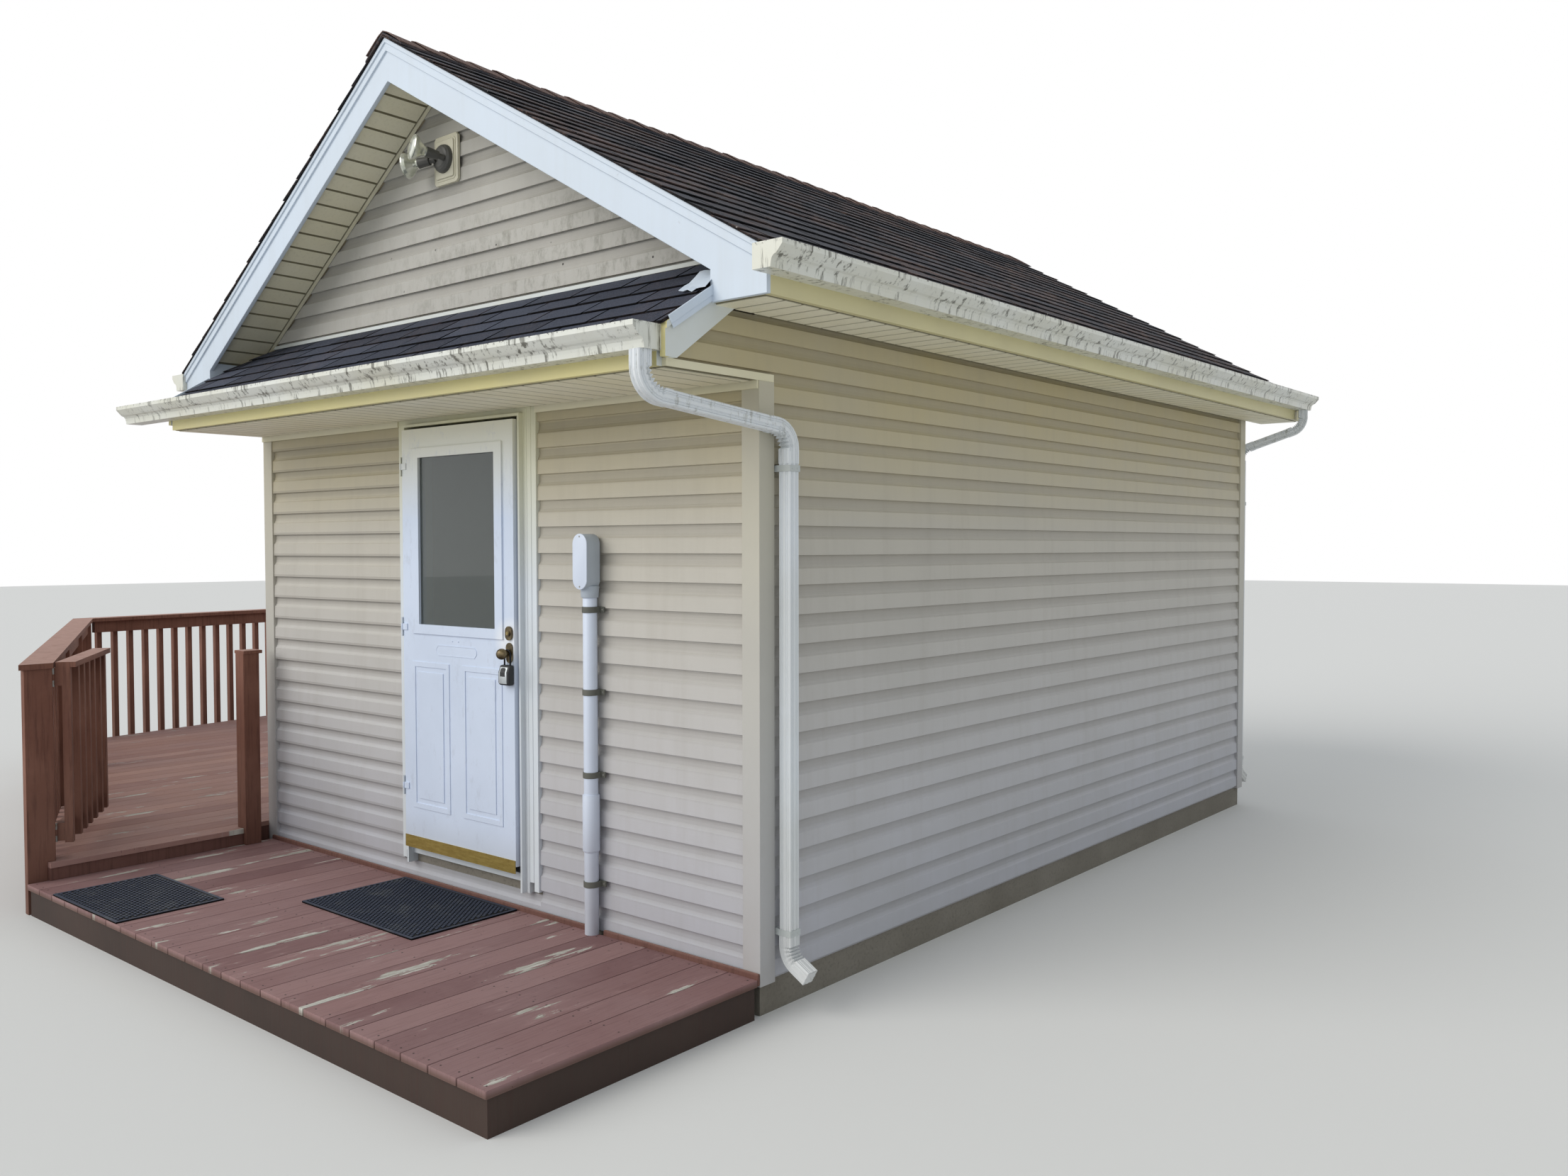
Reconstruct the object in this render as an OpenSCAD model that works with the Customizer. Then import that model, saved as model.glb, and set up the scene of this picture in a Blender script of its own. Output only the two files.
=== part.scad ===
// Boathouse: a small vinyl-sided outbuilding with a gable roof, a pent roof over
// its door, an entry deck and a raised side deck with a railing and a gate.
// Millimetres, +Z up. The door wall faces -Y. The origin is on the ground,
// at the middle of the building.

/* [Building] */
// Width over the corner posts
body_w = 3645; // [3300:5:4200]
// Depth over the corner posts
body_d = 5067; // [4400:5:6000]
// Thickness of the framed walls without their siding
wall_t = 110; // [90:5:140]
// Height of the floor above the ground
floor_z = 300; // [280:5:340]
// Thickness of the floor sheet
floor_t = 18; // [12:1:30]
// Height of the bottom edge of the siding
siding_z = 127; // [60:1:150]

/* [Siding] */
// Height of one siding course
course = 114.3; // [90:0.1:140]
// How far a course's lower edge stands off the wall
butt_d = 16; // [12:1:18]
// Depth from a corner post's face to the wall behind the siding
siding_d = 22; // [20:1:26]
// Width of a corner post's faces
post_face = 87; // [70:1:110]

/* [Main roof] */
// Height of the ridge above the right edge of the roof
ridge_h = 1264.4; // [1150:0.2:1400]
// How much lower the left edge of the roof is than the right one
eave_step = 45.7; // [0:0.1:120]
// Height of the right edge of the roof above the eave soffit
eave_h = 156.6; // [145:0.2:180]
// Distance of the ridge from the middle, towards the left
ridge_off = 127.5; // [0:0.5:200]
// Upright thickness of the framed roof
roof_t = 140; // [120:1:150]
// Overhang of the right eave
eave_r = 280; // [240:5:320]
// Overhang of the left eave
eave_l = 290; // [240:5:320]
// Overhang of the roof past the front and rear walls
rake_over = 283; // [240:1:320]
// Height of the eave soffit above the pent roof's soffit
soffit_rise = 240; // [220:1:260]
// Upright depth of the rake boards
rake_h = 190; // [170:1:220]
// Thickness of the shingles at the lower edge of a course
shingle_t = 9; // [6:0.5:12]
// Length of a shingle course that shows
exposure = 127; // [110:1:145]

/* [Pent roof] */
// Height of the pent roof's top line at the wall above its soffit
pent_h = 459; // [430:1:480]
// Rise of the pent roof for each unit of run
pent_slope = 0.625; // [0.55:0.005:0.7]
// Reach of the pent roof to the face of its fascia
pent_out = 505; // [450:1:560]
// Height of the pent roof's soffit above the door leaf
door_head = 53; // [45:1:80]

/* [Gutters] */
// Width of a gutter at its top
gutter_w = 127; // [110:1:140]
// Height of a gutter's back
gutter_h = 88; // [76:1:95]
// Thickness of the gutter sheet
gutter_t = 3; // [2:0.5:4]
// Side of the downspout's section
spout_w = 56; // [50:1:62]

/* [Door] */
// Width of the door leaf
door_w = 844; // [760:1:900]
// Height of the door leaf
door_h = 1976; // [1900:1:2030]
// Thickness of the door leaf
door_t = 44; // [38:1:50]
// Distance of the door's middle from the building's middle
door_x = 18; // [-60:1:80]
// Height of the leaf's lower edge above the ground
door_z = 358; // [350:1:370]
// Gap round the leaf inside its frame
door_gap = 7; // [5:0.5:10]
// Width of the door's pane
pane_w = 578; // [480:1:620]
// Height of the door's pane
pane_h = 788; // [700:1:860]

/* [Decks] */
// Height of the entry deck's top
deck_z = 152; // [140:1:165]
// Depth of the entry deck in front of the building
deck_out = 1249; // [1100:1:1400]
// Height of the side deck's top
side_z = 241; // [230:1:260]
// Width of a deck board
board_w = 140; // [120:1:145]
// Gap between deck boards
board_gap = 4; // [2:1:8]
// Thickness of a deck board
board_t = 26; // [22:1:38]
// Height of the top of the railing's cap
rail_z = 1213; // [1100:1:1300]
// Side of a deck post
post_w = 89; // [80:1:100]
// Length of the gate's leaf
gate_l = 901; // [800:1:901]

/* [Hidden] */
$fn = 48;

seat = 0.3;                    // gap between pieces that lie on each other
hw = body_w / 2;
hd = body_d / 2;
wx = hw - siding_d;            // outer face of the framed side walls
wy = hd - siding_d;            // outer face of the framed end walls
sx = hw - siding_d + butt_d;   // outermost line of the side siding
sy = hd - siding_d + butt_d;   // outermost line of the end siding
slab_z = floor_z - floor_t;    // top of the foundation

// Heights: each storey of the building stands on the one below it
leaf_z1 = door_z + door_h;
pent_soffit_z = leaf_z1 + door_head;
pent_z = pent_soffit_z + pent_h;
soffit_z = pent_soffit_z + soffit_rise;
plate_z = soffit_z + 13;       // where the gables start
eave_z_r = soffit_z + eave_h;
eave_z_l = eave_z_r - eave_step;
ridge_z = eave_z_r + ridge_h;

// Main roof lines
ridge_x = -ridge_off;
slope_r = ridge_h / (hw + eave_r - ridge_x);
slope_l = (ridge_h + eave_step) / (hw + eave_l + ridge_x);
function roof_z(x) = x > ridge_x ? ridge_z - slope_r * (x - ridge_x) : ridge_z - slope_l * (ridge_x - x);
rake_y = hd + rake_over;       // outer face of the rake boards
right_x = hw + eave_r;         // outer face of the right fascia
left_x = -hw - eave_l;         // outer face of the left fascia
fascia_t = 25;
rake_t = 20;
soffit_t = 8;
trim_h = 57;                   // upright depth of the rake's narrow top trims
trim_step = 22;                // upright depth of the upper one

// Pent roof lines
function pent_top(y) = pent_z + pent_slope * (y + hd);
pent_y = -hd - pent_out;       // face of the pent fascia
pent_t = 110;                  // upright thickness of its framing
cheek_gap = 12;                    // how far the cheek siding stops under the pent roof's top line

// Door lines: the leaf opens outwards and stands in front of its frame's stops
leaf_y = -hd - 50;             // outer face of the leaf
leaf_x0 = door_x - door_w / 2;
leaf_x1 = door_x + door_w / 2;
jamb_w = 13;                   // width of the jamb's bead
jamb_y = -hd - 32;             // front of the jamb's bead
casing_w = 21;
casing_y = -hd - 8;
strip_w = 26;
strip_y = -hd - 5;
channel_w = 31;
channel_y = -hd - 2;
hole_x0 = leaf_x0 - door_gap;  // inside faces of the jambs
hole_x1 = leaf_x1 + door_gap;
hole_z1 = leaf_z1 + 14;        // underside of the head
trim_out = jamb_w + casing_w + strip_w + channel_w;
rough_x0 = hole_x0 - jamb_w;   // sides of the hole in the framed wall
rough_x1 = hole_x1 + jamb_w;
rough_z1 = hole_z1 + jamb_w;
sill_z = floor_z + 18;         // top of the threshold

// Decks
deck_x0 = -hw + 60.5;          // left end of the entry deck
deck_y0 = -hd - deck_out;      // its front edge
trim_y = 14;                   // how far the brown wall trim stands off the siding
nose_x = deck_x0 + 27;         // nosing of the side deck
post_a = [deck_x0 - 25, deck_y0 + 50];    // front corner post, middle
post_b = post_a + [-3963, 1742.5];        // far corner of the railing
post_c = post_a + [-4324, 3832.5];        // rear corner of the railing
latch = [deck_x0 + 1, -hd - 142.5];       // post that the gate closes against
rail_start = post_a + [31, 6];            // where the front railing's middle line starts
cap_t = 27;
cap_w = 140;
rail_t = 38;
rail_h = 89;
baluster_z0 = 90;
gate_pin = post_a + [0, 90.5];
gate_rest = 148.5;             // direction of the open gate

// Copies its children to the left and right, or to the front and rear
module both_x() { children(); mirror([1, 0, 0]) children(); }
module both_y() { children(); mirror([0, 1, 0]) children(); }

// A section drawn in X and Z, drawn out along Y from y0 to y1
module along_y(y0, y1) { translate([0, y1, 0]) rotate([90, 0, 0]) linear_extrude(y1 - y0) children(); }
// A section drawn in Y and Z, drawn out along X from x0 to x1
module along_x(x0, x1) { translate([x0, 0, 0]) rotate([90, 0, 90]) linear_extrude(x1 - x0) children(); }
module box(x0, x1, y0, y1, z0, z1) { translate([x0, y0, z0]) cube([x1 - x0, y1 - y0, z1 - z0]); }

// Lap siding. The section shows a slanted flat under a cove for each course, outwards along -X
module lap_section(z0, z1, phase) {
    first = floor((z0 - phase) / course);
    last = ceil((z1 - phase) / course);
    intersection() {
        polygon(concat([[0, phase + first * course]],
            [for (k = [first:last - 1], p = [[butt_d, 0], [butt_d - 1.5, 0.54], [9, 0.6],
                    [5, 0.68], [3, 0.8], [2.4, 1]]) [-p[0], phase + (k + p[1]) * course]],
            [[0, phase + last * course]]));
        translate([-butt_d, z0]) square([butt_d, z1 - z0]);
    }
}
// Siding that faces -Y, with the wall behind it at Y = 0
module siding_run(x0, x1, z0, z1, phase) { along_x(x0, x1) lap_section(z0, z1, phase); }
phase_side = 1740 % course;
phase_left = (1740 - 11.6) % course;
phase_right = (1740 + 7.2) % course;

// Outline of an end wall under the roof, in X and Z, lowered by d
module gable_outline(d, x0, x1, z0) {
    polygon([[x0, z0], [x1, z0], [x1, roof_z(x1) - d], [ridge_x, ridge_z - d], [x0, roof_z(x0) - d]]);
}

module foundation() {
    color("gray") box(-wx, wx, -wy, wy, 0, slab_z);
}
module floor() {
    color("burlywood") box(-wx + wall_t, wx - wall_t, -wy + wall_t, wy - wall_t, slab_z, floor_z);
}
module front_wall_left() {
    color("wheat") box(-wx + wall_t, rough_x0, -wy, -wy + wall_t, slab_z, plate_z);
}
module front_wall_right() {
    color("wheat") box(rough_x1, wx - wall_t, -wy, -wy + wall_t, slab_z, plate_z);
}
module front_wall_over_door() {
    color("wheat") box(rough_x0, rough_x1, -wy, -wy + wall_t, rough_z1, plate_z);
}
module side_wall(s) {
    outer = s * wx;
    inner = s * (wx - wall_t);
    color("wheat") along_y(-wy, wy)
        polygon([[outer, slab_z], [outer, roof_z(outer) - roof_t - seat],
            [inner, roof_z(inner) - roof_t - seat], [inner, slab_z]]);
}
module left_wall() { side_wall(-1); }
module right_wall() { side_wall(1); }
module rear_wall() {
    color("wheat") box(-wx + wall_t, wx - wall_t, wy - wall_t, wy, slab_z, plate_z);
}
module gable_walls() {
    color("wheat") both_y() along_y(-wy, -wy + wall_t)
        gable_outline(roof_t + seat, -wx + wall_t, wx - wall_t, plate_z);
}

// Siding
module siding_front() {
    color("tan") translate([0, -wy, 0]) {
        siding_run(-hw + post_face, hole_x0 - trim_out, deck_z + 8, pent_soffit_z, phase_left);
        siding_run(hole_x1 + trim_out, hw - post_face, deck_z + 8, pent_soffit_z, phase_right);
        siding_run(hole_x0 - trim_out + 0.5, hole_x1 + trim_out - 0.5, deck_z + 8, slab_z - 45, phase_left);
    }
}
module side_siding(s, outline_z) {
    translate([s * wx, 0, 0]) rotate([0, 0, s * 90])
        siding_run(-hd - pent_out, hd + pent_out, siding_z, outline_z, phase_side);
}
module siding_right() {
    color("tan") intersection() {
        side_siding(1, soffit_z);
        box(0, hw, -hd + post_face, hd - post_face, 0, soffit_z);
    }
}
module siding_left() {
    color("tan") intersection() {
        side_siding(-1, soffit_z);
        box(-hw, 0, -hd + post_face, hd - post_face, 0, soffit_z);
    }
}
// The siding runs on over the cheeks of the pent roof
module pent_cheeks() {
    y0 = pent_y + fascia_t;
    y1 = -hd + post_face;
    z0 = pent_soffit_z + channel_h + seat;
    color("tan") for (s = [-1, 1]) intersection() {
        side_siding(s, soffit_z);
        along_x(-hw, hw) polygon([[y0, z0], [y1, z0], [y1, soffit_z],
            [-hd - (pent_z - cheek_gap - soffit_z) / pent_slope, soffit_z], [y0, pent_top(y0) - cheek_gap]]);
    }
}
module siding_rear() {
    color("tan") translate([0, wy, 0]) rotate([0, 0, 180])
        siding_run(-hw + post_face, hw - post_face, siding_z, plate_z, phase_side);
}
flashing_h = 26;
module siding_gables() {
    color("tan") intersection() {
        union() {
            translate([0, -wy, 0]) siding_run(-hw, hw, pent_z + flashing_h, ridge_z, phase_side);
            translate([0, wy, 0]) rotate([0, 0, 180]) siding_run(-hw, hw, plate_z, ridge_z, phase_side);
        }
        along_y(-hd, hd) gable_outline(roof_t + soffit_t + seat, -sx, sx, plate_z);
    }
}
module corner_post(z1) {
    box(hw - siding_d, hw, -hd, -hd + post_face, siding_z - 7, z1);
    box(hw - post_face, hw - siding_d, -hd, -hd + siding_d, siding_z - 7, z1);
}
module corner_posts() {
    color("tan") both_x() {
        corner_post(pent_soffit_z);
        mirror([0, 1, 0]) corner_post(soffit_z);
    }
}

// Main roof
module slope_section(s) {
    x1 = s > 0 ? right_x - fascia_t : left_x + fascia_t;
    intersection() {
        polygon([[ridge_x, ridge_z], [x1, roof_z(x1)], [x1, roof_z(x1) - roof_t], [ridge_x, ridge_z - roof_t]]);
        translate([left_x, soffit_z + soffit_t]) square([right_x - left_x, ridge_z]);
    }
}
module roof_right() {
    color("tan") along_y(-rake_y + rake_t, rake_y - rake_t) slope_section(1);
}
module roof_left() {
    color("tan") along_y(-rake_y + rake_t, rake_y - rake_t) slope_section(-1);
}
shingle_out = 20;              // reach of the shingles past the rake boards
// Shingle courses: each starts thick at its lower edge and thins out under the next
module shingle_section(x1, top, run) {
    n = ceil(abs(run) / exposure);
    step = run / n;
    polygon(concat([for (k = [0:n - 1], e = [0, 1])
            [x1 + (k + e) * step, top(x1 + (k + e) * step) + (e == 0 ? shingle_t : 4)]],
        [[x1 + run, top(x1 + run) + seat], [x1, top(x1) + seat]]));
}
module shingles_right() {
    color("dimgray") along_y(-rake_y - shingle_out, rake_y + shingle_out)
        shingle_section(right_x + 12, function(x) roof_z(x), ridge_x - right_x - 12);
}
module shingles_left() {
    color("dimgray") along_y(-rake_y - shingle_out, rake_y + shingle_out)
        shingle_section(left_x - 12, function(x) roof_z(x), ridge_x - left_x + 12);
}
module ridge_cap() {
    cap = 140;
    color("dimgray") along_y(-rake_y - shingle_out - 2, rake_y + shingle_out + 2)
        polygon([[ridge_x - cap, ridge_z + 1 + shingle_t - slope_l * cap],
            [ridge_x, ridge_z + 1 + shingle_t], [ridge_x + cap, ridge_z + 1 + shingle_t - slope_r * cap],
            [ridge_x + cap, ridge_z + 11 + shingle_t - slope_r * cap], [ridge_x, ridge_z + 20],
            [ridge_x - cap, ridge_z + 11 + shingle_t - slope_l * cap]]);
}
// Band that follows the roof's top line from depth d0 to depth d1
module rake_band(d0, d1) {
    polygon([[left_x, roof_z(left_x) - d0], [ridge_x, ridge_z - d0], [right_x, roof_z(right_x) - d0],
        [right_x, roof_z(right_x) - d1], [ridge_x, ridge_z - d1], [left_x, roof_z(left_x) - d1]]);
}
box_x = hw + 20;                // inner side of the eave boxes that close the overhang
module rake_boards() {
    color("white") both_y() {
        along_y(-rake_y, -rake_y + rake_t) intersection() {
            rake_band(0, rake_h);
            translate([left_x, soffit_z]) square([right_x - left_x, ridge_z]);
        }
        along_y(-rake_y - 14, -rake_y) rake_band(0, trim_step);
        along_y(-rake_y - 8, -rake_y) rake_band(trim_step, trim_h);
        // The closed ends of the eaves, each with a board that faces the gable
        along_y(-rake_y, -rake_y + rake_t) for (s = [-1, 1]) {
            x0 = s * box_x;
            x1 = s > 0 ? right_x : left_x;
            polygon([[x0, soffit_z], [x1, soffit_z], [x1, roof_z(x1) - rake_t], [x0, roof_z(x0) - rake_h + rake_t]]);
        }
        for (s = [-1, 1]) along_y(-rake_y + rake_t, -hd) {
            x0 = s * box_x;
            x1 = s * (box_x + 10);
            z0 = soffit_z + soffit_t;
            polygon([[x0, z0], [x1, z0], [x1, roof_z(x1) - roof_t], [x0, roof_z(x1) - roof_t]]);
        }
    }
}
module rake_soffits() {
    color("tan") both_y() along_y(-rake_y + rake_t, -sy) intersection() {
        rake_band(roof_t + seat, roof_t + soffit_t);
        translate([-box_x, soffit_z]) square([2 * box_x, ridge_z]);
    }
}
module eave_fascias() {
    color("white") {
        along_y(-rake_y + rake_t, rake_y - rake_t) {
            polygon([[right_x - fascia_t, soffit_z], [right_x, soffit_z], [right_x, roof_z(right_x)],
                [right_x - fascia_t, roof_z(right_x - fascia_t)]]);
            polygon([[left_x + fascia_t, soffit_z], [left_x, soffit_z], [left_x, roof_z(left_x)],
                [left_x + fascia_t, roof_z(left_x + fascia_t)]]);
        }
    }
}
module eave_soffits() {
    color("tan") for (s = [-1, 1]) {
        x1 = s > 0 ? right_x - fascia_t : left_x + fascia_t;
        translate([0, 0, soffit_z]) linear_extrude(soffit_t)
            polygon([[s * box_x, -rake_y + rake_t], [x1, -rake_y + rake_t], [x1, rake_y - rake_t],
                [s * box_x, rake_y - rake_t], [s * box_x, hd], [s * wx, hd], [s * wx, -hd], [s * box_x, -hd]]);
    }
}

// Pent roof over the door
module pent_roof() {
    color("tan") difference() {
        along_x(-wx, wx) polygon([[-wy, pent_top(-wy)], [pent_y + fascia_t, pent_top(pent_y + fascia_t)],
            [pent_y + fascia_t, pent_top(pent_y + fascia_t) - pent_t], [-wy, pent_top(-wy) - pent_t]]);
        along_y(-rake_y, -wy + 1) roof_envelope(0);
    }
}
// All that lies above the underside of the main roof's overhang
module roof_envelope(clear) {
    polygon([[left_x - 50, roof_z(left_x - 50) - rake_h - clear], [ridge_x, ridge_z - rake_h - clear],
        [right_x + 50, roof_z(right_x + 50) - rake_h - clear], [right_x + 50, ridge_z + 100],
        [left_x - 50, ridge_z + 100]]);
}
module pent_shingles() {
    color("dimgray") difference() {
        along_x(-box_x + seat, box_x - seat)
            shingle_section(pent_y - 12, function(y) pent_top(y), -sy - pent_y + 12);
        along_y(-rake_y - 12, 0) roof_envelope(0);
    }
}
channel_h = 28;                 // height of the channel that holds the foot of each cheek
module pent_soffit() {
    color("tan") {
        box(-wx, wx, pent_y + fascia_t, -wy, pent_soffit_z, pent_soffit_z + soffit_t);
        both_x() box(wx, hw - 2, pent_y + fascia_t, -hd + post_face, pent_soffit_z, pent_soffit_z + channel_h);
        box(-hw + 2, hole_x0 - trim_out, -hd - 8, -hd, pent_soffit_z - 30, pent_soffit_z);
        box(hole_x1 + trim_out, hw - 4, -hd - 8, -hd, pent_soffit_z - 30, pent_soffit_z);
    }
}
pent_rake_foot = 56;            // how far the lower edge of the pent's side board starts behind its front
pent_rake_h = 120;
pent_rake_end = -hd - 100;
module pent_trim() {
    z0 = pent_soffit_z + channel_h;
    color("white") {
        along_x(-wx, wx) polygon([[pent_y, pent_soffit_z], [pent_y + fascia_t, pent_soffit_z],
            [pent_y + fascia_t, pent_top(pent_y + fascia_t)], [pent_y, pent_top(pent_y)]]);
        difference() {
            both_x() along_x(sx, box_x)
                polygon([[pent_y, z0], [pent_y + pent_rake_foot, z0],
                    [pent_rake_end, pent_top(pent_rake_end) - pent_rake_h],
                    [pent_rake_end, pent_top(pent_rake_end)], [pent_y, pent_top(pent_y)]]);
            along_y(-rake_y, 0) roof_envelope(0);
        }
        both_x() along_x(box_x, box_x + 8)
            polygon([[pent_y, pent_top(pent_y) - trim_step], [-rake_y - seat, pent_top(-rake_y) - trim_step],
                [-rake_y - seat, pent_top(-rake_y)], [pent_y, pent_top(pent_y)]]);
        intersection() {
            box(-sx, sx, -sy - 4, -sy, pent_z + 9, pent_z + flashing_h - seat);
            along_y(-hd, hd) gable_outline(roof_t + soffit_t, -sx, sx, plate_z);
        }
    }
}

// Gutter section, back at X = 0 and bottom at Y = 0, with its ogee front towards +X
function gutter_line(t) = concat([[t, gutter_h], [t, t], [gutter_w * 0.62 - t, t], [gutter_w * 0.64 - t, 16]],
    [for (a = [0:30:90]) [gutter_w * 0.64 - t + 22 * (1 - cos(a)), 16 + 22 * sin(a) + 4 * a / 90]],
    [for (a = [30:30:90]) [gutter_w - 22 * cos(a) - t + 3, 46 + 24 * (1 - cos(a))]]);
lip_w = 13;                     // width of the gutter's front lip, turned in at its top
module gutter_section() {
    x1 = gutter_w + 3;
    z1 = gutter_h - gutter_t;
    inner = gutter_line(gutter_t);
    polygon(concat(gutter_line(0), [[x1, gutter_h], [x1 - lip_w, gutter_h], [x1 - lip_w, z1], [x1 - gutter_t, z1]],
        [for (k = [len(inner) - 1:-1:0]) inner[k]]));
}
module gutter(l) {
    rotate([90, 0, 0]) {
        linear_extrude(l) gutter_section();
        for (z = [0, l - gutter_t]) translate([0, 0, z]) linear_extrude(gutter_t)
            polygon(concat(gutter_line(0), [[gutter_w + 3, gutter_h]]));
    }
}
gutter_top_r = eave_z_r - 5.6;
gutter_top_l = eave_z_l - 7.9;
gutter_top_p = pent_top(pent_y) - 6.4;
gutter_back = 60;               // how far the eave gutters stop short of the rear rake boards
gutter_past = [75, 20];         // how far the right and left one run past the front ones
module eave_gutters() {
    y1 = rake_y - gutter_back;
    color("whitesmoke") {
        translate([right_x, y1, gutter_top_r - gutter_h]) gutter(y1 + rake_y + gutter_past[0]);
        mirror([1, 0, 0]) translate([-left_x, y1, gutter_top_l - gutter_h]) gutter(y1 + rake_y + gutter_past[1]);
    }
}
pent_gutter_x0 = -hw - 345;
module pent_gutter() {
    color("whitesmoke") translate([hw, pent_y, gutter_top_p - gutter_h]) rotate([0, 0, -90])
        gutter(hw - pent_gutter_x0);
}

// Downspouts: thin square tubes. Each follows two plane paths, listed as [across, height, heading]:
// the upper one drops from the gutter, bends, falls gently to the wall and bends down again,
// and the lower one runs down the wall and kicks out at the foot
spout_t = 2;
crimps = 6;                             // facets of a crimped elbow
function arc(c, r, a0, a1, turn) = [for (k = [0:crimps]) let (a = a0 + (a1 - a0) * k / crimps)
    [c[0] + r * cos(a), c[1] + r * sin(a), a + turn]];
function side_of(path, h) = [for (p = path) [p[0] - h * sin(p[2]), p[1] + h * cos(p[2])]];
function back(list) = [for (k = [len(list) - 1:-1:0]) list[k]];
module strip_along(path, h, w) {
    linear_extrude(w, center = true) polygon(concat(side_of(path, h), back(side_of(path, -h))));
}
elbow_r = [97, 85, 80];
// Centre height of the second bend
function second_z(reach, z, fall) = z - elbow_r[0] * cos(fall) - elbow_r[1] * cos(fall)
    - tan(fall) * (reach - elbow_r[1] * (1 - sin(fall)) - elbow_r[0] * (1 - sin(fall)));
function upper_path(reach, z_top, z, fall, tail) = concat([[0, z_top, -90]],
    arc([elbow_r[0], z], elbow_r[0], 180, 270 - fall, 90),
    arc([reach - elbow_r[1], second_z(reach, z, fall)], elbow_r[1], 90 - fall, 0, -90),
    [[reach, second_z(reach, z, fall) - tail, -90]]);
foot_turn = 60;
foot_l = 70;
function lower_path(z_top, z, extra) = concat([[0, z_top, -90]],
    arc([elbow_r[2], z], elbow_r[2], 180, 180 + foot_turn, 90),
    [[elbow_r[2] * (1 - cos(foot_turn)) + (foot_l + extra) * sin(foot_turn),
        z - elbow_r[2] * sin(foot_turn) - (foot_l + extra) * cos(foot_turn), foot_turn - 90]]);
spout_gap = 10;                         // rear pipe to the face of the corner post
spout_x = hw + 15 + spout_w / 2;        // middle of the pipe on the right wall
spout_y = -hd + 119.5;
band_h = 24;
band_z = [300, pent_soffit_z - 334];
shoe_z = 262;
// stub and foot in plan, gutter's underside, height and fall of the offset, direction of the kick
module downspout(stub, foot, z_top, z, fall, kick, wall_d) {
    reach = norm(foot - stub);
    turn = run_dir(stub, foot);
    h = spout_w / 2;
    z2 = second_z(reach, z, fall);
    difference() {
        union() {
            translate([stub[0], stub[1], 0]) rotate([0, 0, turn]) rotate([90, 0, 0])
                strip_along(upper_path(reach, z_top, z, fall, 30), h, spout_w);
            translate([foot[0], foot[1], 0]) rotate([0, 0, kick]) {
                rotate([90, 0, 0]) strip_along(lower_path(z2 - 5, shoe_z, 0), h, spout_w);
                for (zb = band_z) {
                    translate([-h - 2, -h - 2, zb]) cube([spout_w + 4, spout_w + 4, band_h]);
                    translate([-h - wall_d, -h + 4, zb]) cube([wall_d, spout_w - 8, band_h]);
                }
            }
        }
        translate([stub[0], stub[1], 0]) rotate([0, 0, turn]) rotate([90, 0, 0])
            strip_along(upper_path(reach, z_top + 10, z, fall, 40), h - spout_t, spout_w - 2 * spout_t);
        translate([foot[0], foot[1], 0]) rotate([0, 0, kick]) rotate([90, 0, 0])
            strip_along(lower_path(z2 + 5, shoe_z, 10), h - spout_t, spout_w - 2 * spout_t);
    }
}
spout_at = [spout_x, spout_y];
stub_l = [55, 50];                      // straight stretch under the pent and eave gutter
stub_at = [hw - 39.5, pent_y - 59];     // outlet in the pent gutter
module front_downspout() {
    z = gutter_top_p - gutter_h;
    color("whitesmoke") downspout(stub_at, spout_at, z, z - stub_l[0], 6.7, 0, spout_x - spout_w / 2 - sx);
}
rear_foot = [hw - 45, hd + spout_gap + spout_w / 2];
rear_stub = [right_x + 46, rake_y - 120];
module rear_downspout() {
    z = gutter_top_r - gutter_h;
    color("whitesmoke") downspout(rear_stub, rear_foot, z, z - stub_l[1], 20, 90, spout_gap);
}

// Door frame: two jambs with their casings, the head and the threshold
jamb_foot = floor_z - 60;       // lower ends of the bead and casing, the strip and the channel
strip_foot = floor_z - 10;
channel_foot = floor_z - 50;
module jamb_side(s) {
    x = s > 0 ? hole_x1 : hole_x0;
    z1 = pent_soffit_z - seat;
    translate([x, 0, 0]) scale_side(s) {
        box(0, jamb_w, jamb_y, -wy, jamb_foot, rough_z1);
        box(0, jamb_w, -wy, -wy + wall_t, slab_z, rough_z1);
        box(jamb_w, jamb_w + casing_w, casing_y, -wy, jamb_foot, z1);
        box(jamb_w + casing_w, jamb_w + casing_w + strip_w, strip_y, -wy, strip_foot, z1);
        box(jamb_w + casing_w + strip_w, trim_out, channel_y, -wy, channel_foot, z1);
    }
}
module scale_side(s) { if (s > 0) children(); else mirror([1, 0, 0]) children(); }
module door_frame() {
    color("white") {
        jamb_side(1);
        jamb_side(-1);
        box(hole_x0, hole_x1, jamb_y, -wy + wall_t, hole_z1, rough_z1);
        box(hole_x0 - jamb_w, hole_x1 + jamb_w, casing_y, -wy, rough_z1, pent_soffit_z - seat);
        box(hole_x0, hole_x1, leaf_y + door_t + 6, -wy + wall_t, slab_z, sill_z);
    }
}
hinge_pin = [leaf_x0 - 5, leaf_y - 5];
hinge_zs = [door_z + 220, (door_z + leaf_z1) / 2, leaf_z1 - 220];
hinge_r = 5;
module door_hinges() {
    color("silver") for (z = hinge_zs) translate([hinge_pin[0], hinge_pin[1], z]) {
        cylinder(r = hinge_r, h = 30);
        translate([0, 0, 60.6]) cylinder(r = hinge_r, h = 30);
        translate([0, 0, 30]) cylinder(r = 3, h = 30.6);
        for (h = [0, 60.6]) translate([-6, 0, h]) cube([6, jamb_y - hinge_pin[1], 30]);
    }
}
pane_x = door_x + 6;
pane_z1 = leaf_z1 - 138;
pane_z0 = pane_z1 - pane_h;
glazing_w = [54, 45];           // sides and ends of the raised frame round the pane
glazing_t = 8;
panel_w = 294;
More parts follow.
